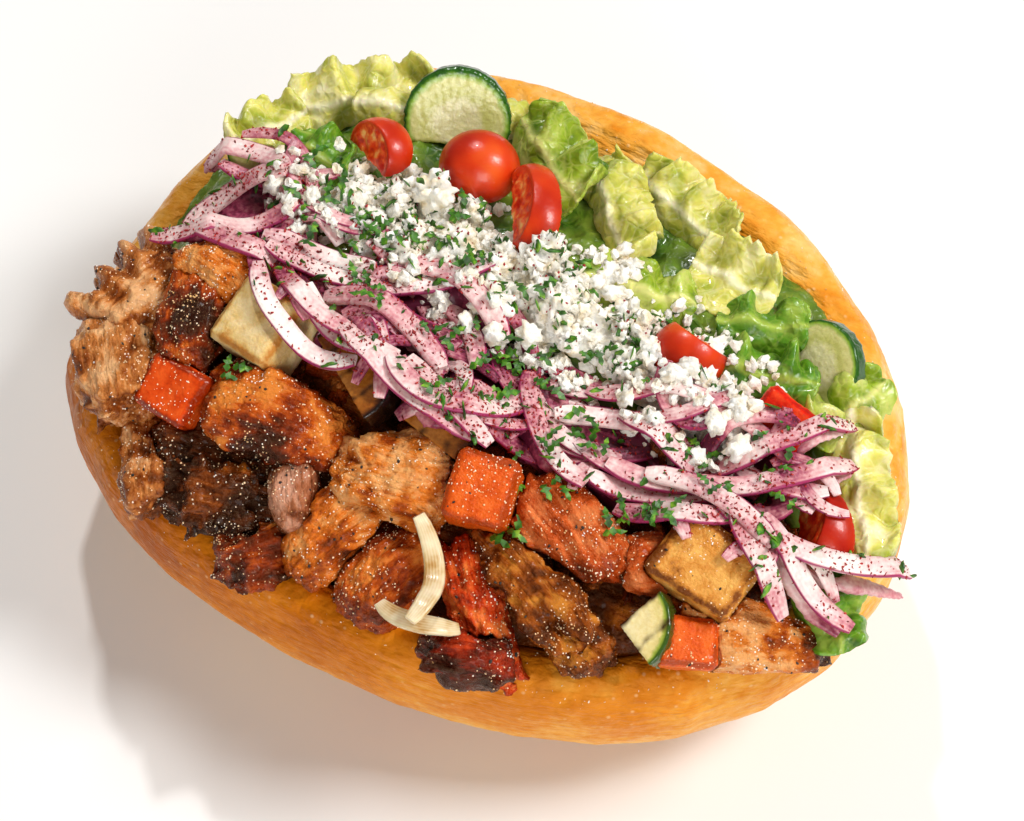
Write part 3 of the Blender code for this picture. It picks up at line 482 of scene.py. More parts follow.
def makeDice():  # diced vegetables with soft edges
    finishes = {name: roastCut(name, tones) for name, tones in diceTones.items()}
    for seed, (node, (place, sides, turn, finish)) in enumerate(diceCuts.items()):
        obj = softened(node.replace("_dice", "_cube"), node, diceMesh["voxel"], diceMesh["rounds"])
        back = placed(place, turn).inverted()
        edges = []

        def cooked(p, normal):
            shares = sorted(abs(part) / mm / (side / 2) for part, side in zip(back @ (p * mm), sides))
            edges.append(clamp((shares[1] - 0.72) / 0.25))
            return diceMesh["lumps"] * shapeAt(p, 5, seed) + diceMesh["grain"] * shapeAt(p, 0.9, seed + 3)

        dressPiece(obj, cooked, finishes[finish], node, edge=edges)


slices = {  # place, radius, turn, finish, how far its face stands proud
    "aubergine_slice": ((-17, -28, 9), 13, (145, 0, -22), "aubergine", 0),
    "aubergine_skin_slice": ((5, -30, 8), 12, (165, 0, -24), "aubergine", 0),
    "zucchini_slice": ((63, -49, 8), 12, (150, 0, -28), "zucchini", 0),
    "cucumber_left": ((-31, 50, 4), 13, (24, 0, 52), "cucumber", 1.3),
    "cucumber_right": ((76, 27, 4), 11, (-30, 0, 52), "cucumber", 0),
    "cucumber_far_left": ((-66, 22, 6), 12, (20, 0, 24), "cucumber", 0),
}
sliceTones = {  # colours from the middle of the slice out to its skin
    "cucumber": [(0.0, "#F0E8B0"), (0.4, "#F2EAB6"), (0.58, "#D4D27C"), (0.84, "#E6E29C"), (0.92, "#98BC42"),
                 (0.96, "#2E6214"), (1.0, "#1E4810")],
    "zucchini": [(0.0, "#F8EABA"), (0.6, "#F4E2A6"), (0.84, "#E8D68E"), (0.9, "#A0B040"), (0.94, "#3A5A10"),
                 (1.0, "#26420A")],
    "aubergine": [(0.0, "#CC8A3C"), (0.5, "#BC7428"), (0.85, "#A05A18"), (0.92, "#4A2008"), (0.95, "#1C0C06"),
                  (1.0, "#160A06")],
}
sliceMesh = {"voxel": 0.5, "rounds": 2, "grain": 0.12, "markGap": 7.0}


def cutSlice(name, stops):
    # A round slice: watery flesh with a seed ring, a thin dark skin round its edge, and bars
    # where it lay on the grill.
    made, add, place, radial, marks = newMaterial(f"cut slice, {name}", {
        "Roughness": 0.26, "IOR": 1.36, "Coat Weight": 0.4, "Coat Roughness": 0.1,
        **litWithin(0.25, 3, (0.7, 0.8, 0.3)),
    }, radial="Fac", marks="Fac")
    wobble = add("ShaderNodeTexNoise", {"Vector": place, "Scale": perMm / 2.38, "Detail": 4}, "Fac")
    fibre = add("ShaderNodeTexNoise", {"Vector": place, "Scale": perMm / 0.7692, "Detail": 3}, "Fac")
    centred = add("ShaderNodeMath", (wobble, 0.5), 0, operation="SUBTRACT")
    inside = add("ShaderNodeMapRange", (radial, 0.8, 0.92, 0.3, 0.02), 0)
    ring = weighed(add, radial, (centred, inside))
    colour = add("ShaderNodeValToRGB", {"Fac": ring}, "Color", stops=stops)
    shade = add("ShaderNodeMapRange", (fibre, 0.35, 0.75, 0.0, 0.4), 0)
    worn = add("ShaderNodeMix", {
        0: shade, 6: colour, 7: stops[2][1]}, 2, data_type="RGBA", blend_type="MULTIPLY")
    grilled = add("ShaderNodeMix", {0: marks, 6: worn, 7: "#3A1A06"}, 2, data_type="RGBA")
    return dressMaterial(made, {"Base Color": grilled}, fibre, 0.35, 0.4)


def makeSlices():  # slices of cucumber, zucchini and aubergine
    finishes = {name: cutSlice(name, stops) for name, stops in sliceTones.items()}
    for seed, (node, (place, radius, turn, finish, proud)) in enumerate(slices.items()):
        obj = softened(node + "_cut", node, sliceMesh["voxel"], sliceMesh["rounds"])
        back = placed(place, turn).inverted()
        radials, marks = [], []

        def grained(p, normal):
            local = back @ (p * mm)
            radials.append(math.hypot(local.x, local.y) / mm / radius)
            bar = abs((local.x / mm + 0.6 * shapeAt(p, 4, seed)) / sliceMesh["markGap"] % 1 - 0.5)
            marks.append(max(0, bar * 5 - 1.7 + 0.9 * shapeAt(p, 2, seed)) if finish != "cucumber" else 0)
            return proud * max(0, normal.z) + sliceMesh["grain"] * shapeAt(p, 1.4, seed)

        dressPiece(obj, grained, finishes[finish], node, marks=marks, radial=radials)


tomatoes = {  # place, radius, how stretched, turn, the cut's side and distance
    "tomato_left": ((-41, 30, 7), 8, 1.15, (-12, 10, 20), (-0.5, -0.75, 0.45, 0.8)),
    "tomato_back": ((-18, 37, 6), 9, 1.1, (10, 0, 30), None),
    "tomato_tall": ((1, 29, 8), 9, 1.45, (-55, 0, 24), (-0.75, -0.4, 0.5, 1.4)),
    "tomato_hidden": ((49, 12, 5), 8, 1.1, (10, 0, 30), (0.2, 0.8, 0.5, 4.0)),
    "tomato_front": ((92, -9, 6), 9, 1.3, (-40, 0, 30), (-0.8, -0.35, 0.5, 0.8)),
}
tomatoMesh = {"voxel": 0.45, "rounds": 1, "pulp": 0.5}


def ripeTomato():
    # Ripe tomato: a taut, waxy red skin, and on the cut sides paler flesh with wet pulp.
    made, add, place, skin = newMaterial("ripe tomato", {
        "Roughness": 0.32, "IOR": 1.38, "Coat Weight": 0.15, "Coat Roughness": 0.05,
        **litWithin(0.2, 3, (1.0, 0.2, 0.1)),
    }, skin="Fac")
    cells = add("ShaderNodeTexNoise", {"Vector": place, "Scale": perMm / 2.63, "Detail": 5}, "Fac")
    blush = add("ShaderNodeTexNoise", {"Vector": place, "Scale": perMm / 14.3, "Detail": 2}, "Fac")
    pulp = add("ShaderNodeValToRGB", {"Fac": cells}, "Color", stops=[
        (0.34, "#B41404"), (0.48, "#DE3A10"), (0.58, "#F07030"), (0.68, "#F8B868")])
    outer = add("ShaderNodeValToRGB", {"Fac": blush}, "Color", stops=[
        (0.35, "#A81602"), (0.55, "#CE360A"), (0.75, "#E8641E")])
    isSkin = add("ShaderNodeMapRange", (skin, 0.88, 0.93), 0)
    mixed = add("ShaderNodeMix", {0: isSkin, 6: pulp, 7: outer}, 2, data_type="RGBA")
    return dressMaterial(made, {"Base Color": mixed}, cells, 0.3, 0.5)


def makeTomatoes():  # tomatoes with a cut side, and one left whole
    finish = ripeTomato()
    for seed, (node, (place, radius, stretch, turn, cut)) in enumerate(tomatoes.items()):
        obj = softened(node + "_wedge", node, tomatoMesh["voxel"], tomatoMesh["rounds"], cut)
        lay = placed(place, turn)
        back = lay.inverted()

        def shareOut(local):  # how far out towards the skin, 1 on it
            return Vector((local.x / stretch, local.y, local.z)).length / mm / radius

        for v in obj.data.vertices:  # rounds the skin off
            local = back @ v.co
            share = shareOut(local)
            if share > 0.9:
                v.co = lay @ (local / share * min(1, 0.9 + (share - 0.9) * 2.5))
        skins = []

        def pulpy(p, normal):
            skins.append(shareOut(back @ (p * mm)))
            return tomatoMesh["pulp"] * shapeAt(p, 2.2, seed) if skins[-1] < 0.86 else 0

        dressPiece(obj, pulpy, finish, node, skin=skins)


leafWave = 11  # mm from one ripple to the next
leaves = {  # place, length and width, curl in degrees, height of the ripples, turn, finish
    "lettuce_far_left": ((-55, 47, 3), (40, 22), 60, 2.4, (32, 0, 40), "pale"),
    "lettuce_left_tip": ((-71, 27, 6), (22, 16), 60, 2.0, (60, 0, 30), "pale"),
    "lettuce_dark_frill": ((-54, 22, 8), (18, 16), 90, 2.4, (-4, 0, 30), "dark"),
    "lettuce_curl": ((-46, 45, 7), (21, 12), 150, 0.6, (16, 0, 30), "pale"),
    "lettuce_middle_frill": ((-19, 53, 3), (22, 18), 70, 1.6, (14, 0, 45), "pale"),
    "lettuce_tall": ((-4, 46, 8), (32, 22), 90, 2.6, (-38, 6, 42), "green"),
    "lettuce_rib_fold": ((15, 40, 5), (34, 22), 110, 2.0, (-50, 0, 38), "pale"),
    "lettuce_far_fold": ((31, 48, 6), (33, 20), 80, 2.4, (-22, 0, 46), "pale"),
    "lettuce_green_lobe": ((32, 20, 8), (28, 17), 80, 1.8, (10, 0, 12), "green"),
    "lettuce_pale_bowl": ((49, 37, 4), (22, 20), -70, 1.6, (-4, 0, 30), "pale"),
    "lettuce_dark_top": ((60, 29, 5), (22, 16), 110, 1.8, (20, 0, 20), "dark"),
    "lettuce_dark_lobe": ((65, 15, 7), (28, 17), 90, 2.4, (14, 0, 16), "dark"),
    "lettuce_right_frill": ((86, 19, 7), (26, 14), 70, 2.6, (66, 0, 20), "green"),
    "lettuce_right_long": ((96, 2, 9), (40, 16), 80, 2.4, (-60, -6, 26), "pale"),
    "lettuce_front_tip": ((100, -22, 6), (24, 16), 70, 2.0, (-50, -14, 10), "dark"),
}
leafMesh = {"step": 0.65, "thick": 0.7, "blisters": 0.55, "blisterSize": 3.6, "ragged": 1.3, "veinGap": 6.5}
leafTones = {  # rib, blade, shaded blade
    "pale": ("#F8F2C8", "#DCD466", "#9CA62A"),
    "green": ("#E0DE88", "#98AE28", "#48700E"),
    "dark": ("#AEC050", "#5E901A", "#245208"),
    # painted shade: the darkest greens, for the salad under the leaves so the gaps read as shadow
    "deep": ("#8EA038", "#446A16", "#1C3C08"),
}


def lettuceLeaf(name, tones):
    # Romaine: a thin waxy blade, blistered between pale watery ribs, that lets light through.
    rib, blade, shade = tones
    made, add, place, vein = newMaterial(f"lettuce, {name}", {
        "Roughness": 0.32, "IOR": 1.38, "Coat Weight": 0.25, "Coat Roughness": 0.1,
        **litWithin(0.3, 2, (0.6, 1.0, 0.2)),
    }, vein="Fac")
    blotch = add("ShaderNodeTexNoise", {"Vector": place, "Scale": perMm / 7.7, "Detail": 4}, "Fac")
    body = add("ShaderNodeValToRGB", {"Fac": blotch}, "Color", stops=[
        (0.3, shade), (0.52, blade), (0.78, rib)])
    wavy = add("ShaderNodeTexNoise", {"Vector": place, "Scale": perMm / 4.17, "Detail": 2}, "Color")
    bent = add("ShaderNodeVectorMath", {
        0: wavy, 1: (3.5 * mm, 3.5 * mm, 3.5 * mm), 2: place}, 0, operation="MULTIPLY_ADD")
    fromEdge = add("ShaderNodeTexVoronoi", {
        "Vector": bent, "Scale": perMm / 3.7}, "Distance", feature="DISTANCE_TO_EDGE")
    net = add("ShaderNodeMapRange", (fromEdge, 0.0, 0.08, 0.24, 0.0), 0)
    lines = add("ShaderNodeMath", (vein, net), 0, operation="MAXIMUM")
    mixed = add("ShaderNodeMix", {0: lines, 6: body, 7: rib}, 2, data_type="RGBA")
    puffed = add("ShaderNodeMapRange", (fromEdge, 0.0, 0.4), 0, interpolation_type="SMOOTHSTEP")
    return dressMaterial(made, {"Base Color": mixed}, puffed, 0.5, 0.7)


def growLeaf(name, size, curl, ripple, seed, matrix, finish):
    # A curled leaf with ribs, blisters and a frilled edge.
    length, width = size[0] * mm, size[1] * mm
    g = leafMesh
    bm = bmesh.new()
    columns, rows = (round(side / g["step"]) for side in size)
    bmesh.ops.create_grid(bm, x_segments=columns, y_segments=rows, size=1)
    radius = width / math.radians(abs(curl))
    veins = []
    for v in bm.verts:
        u, w = v.co.x, v.co.y
        tear = 1 + g["ragged"] * mm / width * 2 * noise.noise(Vector((u * size[0] / 3, seed, w)))
        tear = tear if abs(w) > 0.75 else 1
        end = 1 - 0.06 * abs(noise.noise(Vector((w * 4, seed, 3)))) * abs(u)
        u, w = u * end, w * tear
        arc = w * math.radians(abs(curl)) / 2 * math.sqrt(max(0, 1 - 0.65 * min(1, abs(u)) ** 4))
        wave = u * length / 2 / (leafWave * mm) * math.tau + seed
        wave += 3.2 * noise.noise(Vector((u * 1.6, seed, w)))
        swing = 1 + 0.8 * noise.noise(Vector((u * 3, seed, 7)))
        frill = ripple * mm * max(0, w + 0.4) * math.sin(wave) * swing
        frill += 0.35 * ripple * mm * max(0, w) * math.sin(2.7 * wave + seed)
        x = u * length / 2 * (1 - 0.1 * w ** 2)
        y = radius * math.sin(arc) + 0.4 * frill
        z = -math.copysign(radius * (1 - math.cos(arc)), curl) + frill
        z += 2.2 * mm * noise.noise(Vector((u * 1.3, w * 0.8, seed + 5)))
        flat = Vector((u * size[0] / 2, w * size[1] / 2, 0))
        side = (flat.x + abs(flat.y) * 0.8 + 0.8 * noise.noise(flat / 5)) / g["veinGap"]
        sideVein = max(0, 1 - abs(side - round(side)) * g["veinGap"] / 0.55) * (1 - abs(w) * 0.6)
        ribVein = max(0, 1 - abs(flat.y + noise.noise(flat / 8)) / (1.6 - 0.7 * u))
        vein = clamp(max(0.75 * sideVein, ribVein))
        veins.append(vein * (0.75 if ribVein < vein else 1))
        z += g["blisters"] * mm * noise.noise(flat / g["blisterSize"] + Vector((0, 0, seed)))
        z += -0.35 * mm * sideVein + 0.5 * mm * ribVein
        v.co = (x, y, z)
    layer = bm.verts.layers.float.new("vein")
    for v, vein in zip(bm.verts, veins):
        v[layer] = vein
    bmesh.ops.transform(bm, matrix=matrix, verts=bm.verts)
    obj = newPiece(name, meshOf(bm, name), finish)
    thicken = obj.modifiers.new("blade", "SOLIDIFY")
    thicken.thickness = g["thick"] * mm
    thicken.offset = 0
    bakeModifiers(obj)
    obj.data.shade_smooth()
    return obj


def makeLettuce():  # the leaves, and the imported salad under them
    finishes = {name: lettuceLeaf(name, tones) for name, tones in leafTones.items()}
    for seed, (node, (place, size, curl, ripple, turn, finish)) in enumerate(leaves.items()):
        name = node.replace("lettuce_", "leaf_")
        obj = growLeaf(name, size, curl, ripple, seed, placed(place, turn), finishes[finish])
        finishPiece(obj, node, node)
    under = softened("packed_salad", "salad_core", 1.3, 3)
    veins = []

    def crumpled(p, normal):
        fold = ridgeAt(p, 11, 3)
        fine = ridgeAt(p, 4.5, 8)
        veins.append(clamp(fold * 1.6 - 0.7) * 0.5)
        share = max(0 if p.z < 62 else 0.45, normal.z)
        farLeft = clamp((-66 - p.x) / 8)
        return share * (2.6 * fold + 1.1 * fine - 1.6 - 4 * farLeft)

    # painted shade: the salad under the leaves takes the darkest green, so the gaps between them read as
    # shadow
    dressPiece(under, crumpled, finishes["deep"], "salad_core", vein=veins)


onionStrips = {
    "width": 5.4, "thick": 1.7, "step": 1.8, "stiff": 30, "sink": 0.3,
    # the pile's middle line, and how many strips lie loose in it under the ones on top
    "line": [(-60, 6), (-52, 2), (-38, -4), (-10, -12), (20, -16), (50, -13), (75, -11), (92, -18)],
    "loose": 64, "spread": 12.0,
    # how far the pile's underlayer lies below its node, where it is stained darker (spice stain and painted
    # shade), and how a strip hangs
    "drop": 3.4, "stained": (-72, 80), "bridge": 13, "sag": 5,
    "over": [  # middle x, y, length, heading of the chord, how far it turns
        (-12, -4, 50, -2, -135), (-21, -22, 30, -14, 60), (-33, -25, 38, -21, 80),
        (-33, -18, 30, -24, 64), (-58, -11, 24, -4, 20), (-39, -3, 28, 7, -13),
        (-23, -3, 55, 23, 59), (-4, 2, 32, -15, -58), (-63, -6, 36, 36, 45), (-68, 6, 27, 43, -68),
        (-69, 15, 25, 2, -66), (-3, -28, 39, -13, 29), (8, -27, 27, -20, 6), (9, -24, 38, 21, 118),
        (29, -20, 33, -40, 56), (46, -11, 37, 4, -51), (54, -12, 24, -12, 10), (59, -21, 36, 17, 26),
        (63, -26, 26, 17, 39), (71, -12, 58, 28, 63), (78, 0, 37, 48, 33), (93, -18, 46, 13, 60),
        (94, -24, 29, -20, 30), (84, -27, 22, -34, 20), (-14, -14, 36, -10, -60), (70, -20, 34, -8, -40),
    ],
}


def redOnion():
    # Raw red onion cut across: wet, glassy flesh that lets light through, stained rosy by the spice, with
    # painted shade that makes the lower strips and the underlayer darker, with fine lines along each ring and
    # a purple skin edge.
    made, add, place, across, stain = newMaterial("sliced red onion", {
        "Roughness": 0.34, "IOR": 1.38, **litWithin(0.25, 2, (1.0, 0.5, 0.5))}, across="Fac", stain="Fac")
    blush = add("ShaderNodeTexNoise", {"Vector": place, "Scale": perMm / 14.3, "Detail": 4}, "Fac")
    fibres = add("ShaderNodeTexNoise", {"Vector": place, "Scale": perMm / 1.111, "Detail": 3}, "Fac")
    turns = add("ShaderNodeMath", (across, 26), 0, operation="MULTIPLY")
    lines = add("ShaderNodeMath", {0: turns}, 0, operation="SINE")
    tint = weighed(add, blush, (fibres, 0.35), (lines, 0.02), (stain, 0.5))
    flesh = add("ShaderNodeValToRGB", {"Fac": tint}, "Color", stops=[
        (0.46, "#F8E8E0"), (0.64, "#EAC6C2"), (0.78, "#CE868C"), (0.9, "#9C3E5A"), (0.99, "#5E1830")])
    wobble = weighed(add, across, (blush, 0.2))
    rim = add("ShaderNodeMapRange", (wobble, 0.99, 1.06), 0)
    mixed = add("ShaderNodeMix", {0: rim, 6: flesh, 7: "#A0305E"}, 2, data_type="RGBA")
    return dressMaterial(made, {"Base Color": mixed}, fibres, 0.3, 0.4)


def arcPoints(x, y, length, heading, bend, step):  # a strip seen from above, as points along an arc
    count = max(5, round(length / step))
    turn = math.radians(bend)
    way = math.radians(heading) - turn / 2
    spot, points = Vector((0, 0)), []
    for index in range(count):
        points.append(spot.copy())
        angle = way + turn * (index + 0.5) / (count - 1)
        spot += length / (count - 1) * Vector((math.cos(angle), math.sin(angle)))
    middle = sum(points, Vector((0, 0))) / count
    return [(Vector((x, y)) + point - middle) * mm for point in points]


def drapeStrip(plan, width, thick, trees, strips, s):  # lays a strip over what is under it
    rests = []
    for point in plan:
        floor = max(topAt(point.x + dx, point.y + dy, trees) for dx, dy in
                    ((0, 0), (width / 2, 0), (-width / 2, 0), (0, width / 2), (0, -width / 2)))
        laid = max(topAt(point.x, point.y, strips), 0)
        rests.append(max(floor + thick * 0.5, laid + thick * (1 - s["sink"])))
    peak = max(rests)
    rests = [max(rest, peak - s["bridge"] * mm) for rest in rests]
    low = min(rests[len(rests) // 4: -len(rests) // 4] or rests)
    heights = [max(rest, low - s["sag"] * mm) for rest in rests]
    for _ in range(s["stiff"]):  # a strip is stiff: it bridges the dips between what holds it up
        smooth = heights[:]
        for i in range(1, len(heights) - 1):
            smooth[i] = max(rests[i], (heights[i - 1] + 2 * heights[i] + heights[i + 1]) / 4)
        smooth[0] = max(rests[0], 2 * smooth[1] - smooth[2] - 0.1 * mm)
        smooth[-1] = max(rests[-1], 2 * smooth[-2] - smooth[-3] - 0.1 * mm)
        heights = smooth
    return [Vector((point.x, point.y, z)) for point, z in zip(plan, heights)]


def stripTree(points, width, thick):  # a laid strip's top, for the strips that come to lie on it
    verts, faces = [], []
    for i, point in enumerate(points):
        ahead = points[min(i + 1, len(points) - 1)] - points[max(i - 1, 0)]
        side = Vector((-ahead.y, ahead.x, 0)).normalized() * width / 2
        verts += [point + side, point - side]
        if i:
            faces.append((2 * i - 2, 2 * i - 1, 2 * i + 1, 2 * i))
    return BVHTree.FromPolygons(verts, faces)


def pathCurve(name, lines, radii):  # paths with a radius at each point
    curve = bpy.data.curves.new(name, "CURVE")
    curve.dimensions = "3D"
    for line, ends in zip(lines, radii):
        spline = curve.splines.new("POLY")
        spline.points.add(len(line) - 1)
        for spot, point, radius in zip(spline.points, line, ends):
            spot.co = (*point, 1)
            spot.radius = radius
    return curve


def newTree(name, inputs):  # an empty tree that takes a geometry and these inputs, and gives one back
    tree = bpy.data.node_groups.new(name, "GeometryNodeTree")
    for socket, kind in {"Geometry": "Geometry", **inputs}.items():
        tree.interface.new_socket(socket, in_out="INPUT", socket_type="NodeSocket" + kind)
    tree.interface.new_socket("Geometry", in_out="OUTPUT", socket_type="NodeSocketGeometry")
    add = partial(addNode, tree)
    return tree, add, add("NodeGroupInput").outputs


def endTree(add, copies, finish):  # makes the copies real and gives them their material
    real = add("GeometryNodeRealizeInstances", {0: copies}, 0)
    coated = add("GeometryNodeSetMaterial", {"Geometry": real, "Material": finish}, 0)
    add("NodeGroupOutput", {0: coated})


def sweepTree(name):  # lays a section along every path and keeps how far across it each point is
    tree, add, given = newTree(name, {"Section": "Object", "Half Width": "Float", "Finish": "Material"})
    section = add("GeometryNodeObjectInfo", {"Object": given["Section"]}, "Geometry")
    spot = add("GeometryNodeInputPosition", out=0)
    acrossX = add("ShaderNodeSeparateXYZ", {0: spot}, "X")
    share = add("ShaderNodeMath", (acrossX, given["Half Width"]), 0, operation="DIVIDE")
    half = add("ShaderNodeMath", (share, 0.5, 0.5), 0, operation="MULTIPLY_ADD")
    marked = add("GeometryNodeStoreNamedAttribute", {
        "Geometry": section, "Name": "across", "Value": half}, 0, data_type="FLOAT", domain="POINT")
    upright = add("GeometryNodeSetCurveNormal", {"Curve": given["Geometry"]}, 0, mode="Z_UP")
    radius = add("GeometryNodeInputRadius", out=0)
    swept = add("GeometryNodeCurveToMesh", {
        "Curve": upright, "Profile Curve": marked, "Scale": radius, "Fill Caps": True}, 0)
    endTree(add, swept, given["Finish"])
    return tree


def runTree(obj, tree, values):  # sets a tree's named inputs and turns the result into a mesh
    nodes = obj.modifiers.new(tree.name, "NODES")
    nodes.node_group = tree
    for item in tree.interface.items_tree:
        if item.in_out == "INPUT" and item.name in values:
            nodes[item.identifier] = values[item.name]
    graph = bpy.context.evaluated_depsgraph_get()
    mesh = bpy.data.meshes.new_from_object(obj.evaluated_get(graph))
    obj.modifiers.clear()
    return mesh


def sectionCurve(name, width, thick):  # a strip's cut end: flat below, crowned above
    shape = [(1, -0.35), (0.92, 0.3), (0.6, 0.5), (0.15, 0.42), (-0.35, 0.46), (-0.8, 0.4), (-1, 0.0),
             (-0.9, -0.45), (-0.4, -0.5), (0.3, -0.46), (0.8, -0.5)]
    line = [Vector((x * width / 2, y * thick, 0)) for x, y in shape]
    curve = pathCurve(name, [line], [[1] * len(line)])
    curve.splines[0].use_cyclic_u = True
    return newPiece(name, curve)


def sweepStrips(name, lines, radii, width, thick, finish):  # strips of onion along their paths
    section = sectionCurve(name + "_section", width, thick)
    paths = newPiece(name + "_paths", pathCurve(name, lines, radii))
    mesh = runTree(paths, sweepTree(name + " sweep"), {
        "Section": section, "Half Width": width / 2, "Finish": finish})
    bpy.data.objects.remove(section)
    bpy.data.objects.remove(paths)
    bm = bmesh.new()
    bm.from_mesh(mesh)
    bmesh.ops.recalc_face_normals(bm, faces=bm.faces)
    bm.to_mesh(mesh)
    bm.free()
    mesh.shade_smooth()
    return newPiece(name, mesh)


def loosePlans(s):  # the strips inside the pile: they follow its line, each its own way
    draw, plans = random.Random(17), []
    first, last = s["line"][0][0], s["line"][-1][0]
    for index in range(s["loose"]):
        x = first + (last - first) * (index * 0.618 % 1)
        for (x0, y0), (x1, y1) in zip(s["line"], s["line"][1:]):
            if x0 <= x <= x1:
                y = y0 + (y1 - y0) * (x - x0) / (x1 - x0)
                slope = math.degrees(math.atan2(y1 - y0, x1 - x0))
        length = draw.uniform(20, 40) * (0.75 if abs(x) > 70 else 1)
        y += draw.uniform(-1, 1) * s["spread"]
        heading = slope + draw.uniform(-45, 45)
        plans.append((x, y, length, heading, draw.choice((-1, 1)) * draw.uniform(25, 130)))
    return plans


def makeOnions(finish):  # the pile of raw onion strips over its underlayer
    s = onionStrips
    width, thick = s["width"] * mm, s["thick"] * mm
    ground = [treeOf(*[obj for node, obj in frame["nodes"].items() if node != "onion_heap"])]
    filler = softened("onion_underlayer", "onion_heap", 0.9, 6)
    for v in filler.data.vertices:
        v.co.z -= s["drop"] * mm
    left, right = s["stained"]
    verts = filler.data.vertices
    writeAttribute(filler.data, "across", [0.5] * len(verts))
    # painted shade: the underlayer is stained darker where it lies under the strips
    writeAttribute(filler.data, "stain", [0.55 if left < v.co.x / mm < right else 0.1 for v in verts])
    coat(filler, finish)
    draw = random.Random(5)
    lines, radii, strips, stains = [], [], [], []
    loose = loosePlans(s)
    for index, (x, y, length, heading, bend) in enumerate(loose + s["over"]):
        plan = arcPoints(x, y, length, heading, bend, s["step"])
        onTop = index >= len(loose)
        sink = s["sink"] if onTop else 0.75
        line = drapeStrip(plan, width * 0.8, thick, ground, strips, {**s, "sink": sink})
        size = draw.uniform(0.8, 1.02) if onTop else draw.uniform(0.55, 0.85)
        steps = [min(1, 0.15 + min(i, len(line) - 1 - i) / 3) for i in range(len(line))]
        lines.append(line if bend > 0 else line[::-1])
        radii.append([size * min(1, 0.5 + 0.5 * math.sin(math.pi / 2 * step)) for step in steps])
        # painted shade: the strips inside the pile are stained darker than those on top
        stains.append(draw.uniform(-0.3, 0.12) if onTop else draw.uniform(0.0, 0.42))
        strips.append(stripTree(line, width, thick))
    obj = sweepStrips("onion_strips", lines, radii, width, thick, finish)
    stainStrips(obj, lines, stains)
    finishPiece(obj, "onion_heap", "onion_heap")
    finishPiece(filler, "onion_heap")
    return obj


def stainStrips(obj, lines, stains):  # gives every vertex its own strip's stain, which holds painted shade too
    total = len(obj.data.vertices)
    ring = total // sum(len(line) for line in lines)
    values = [stain for line, stain in zip(lines, stains) for _ in range(len(line) * ring)]
    writeAttribute(obj.data, "stain", values[:total])


friedOnions = {  # x and y, length, heading, how far it turns, width, thickness
    "fried_onion_upright": ((20, -60), 26, -66, -80, 4.8, 2.0),
    "fried_onion_flat": ((22, -69), 20, 6, 70, 4.6, 2.0),
}


def softOnion():
    # Onion fried until soft: cream-coloured and glassy, lined along its rings, brown in patches.
    made, add, place, across = newMaterial("soft fried onion", {
        "Roughness": 0.22, "IOR": 1.42, **litWithin(0.3, 2, (1.0, 0.7, 0.4))}, across="Fac")
    patches = add("ShaderNodeTexNoise", {"Vector": place, "Scale": perMm / 6.25, "Detail": 3}, "Fac")
    turns = add("ShaderNodeMath", (across, 44), 0, operation="MULTIPLY")
    lines = add("ShaderNodeMath", {0: turns}, 0, operation="SINE")
    tone = weighed(add, patches, (lines, 0.035))
    colour = add("ShaderNodeValToRGB", {"Fac": tone}, "Color", stops=[
        (0.32, "#EADAB6"), (0.5, "#D8C094"), (0.62, "#BE9458"), (0.74, "#8E4E18")])
    return dressMaterial(made, {"Base Color": colour}, tone, 0.6, 0.5)


def makeFriedOnions():  # two soft, brown strips
    finish = softOnion()
    for node, (place, *bow, width, thick) in friedOnions.items():
        ground = [treeOf(*[obj for name, obj in frame["nodes"].items() if name != node])]
        plan = arcPoints(*place, *bow, onionStrips["step"])
        line = drapeStrip(plan, width * mm, thick * mm, ground, [], onionStrips)
        last = len(line) - 1
        taper = [0.62 + 0.38 * max(0, math.sin(math.pi * i / last)) ** 0.6 for i in range(last + 1)]
        obj = sweepStrips(node.replace("fried", "soft"), [line], [taper], width * mm, thick * mm, finish)
        finishPiece(obj, node, node)


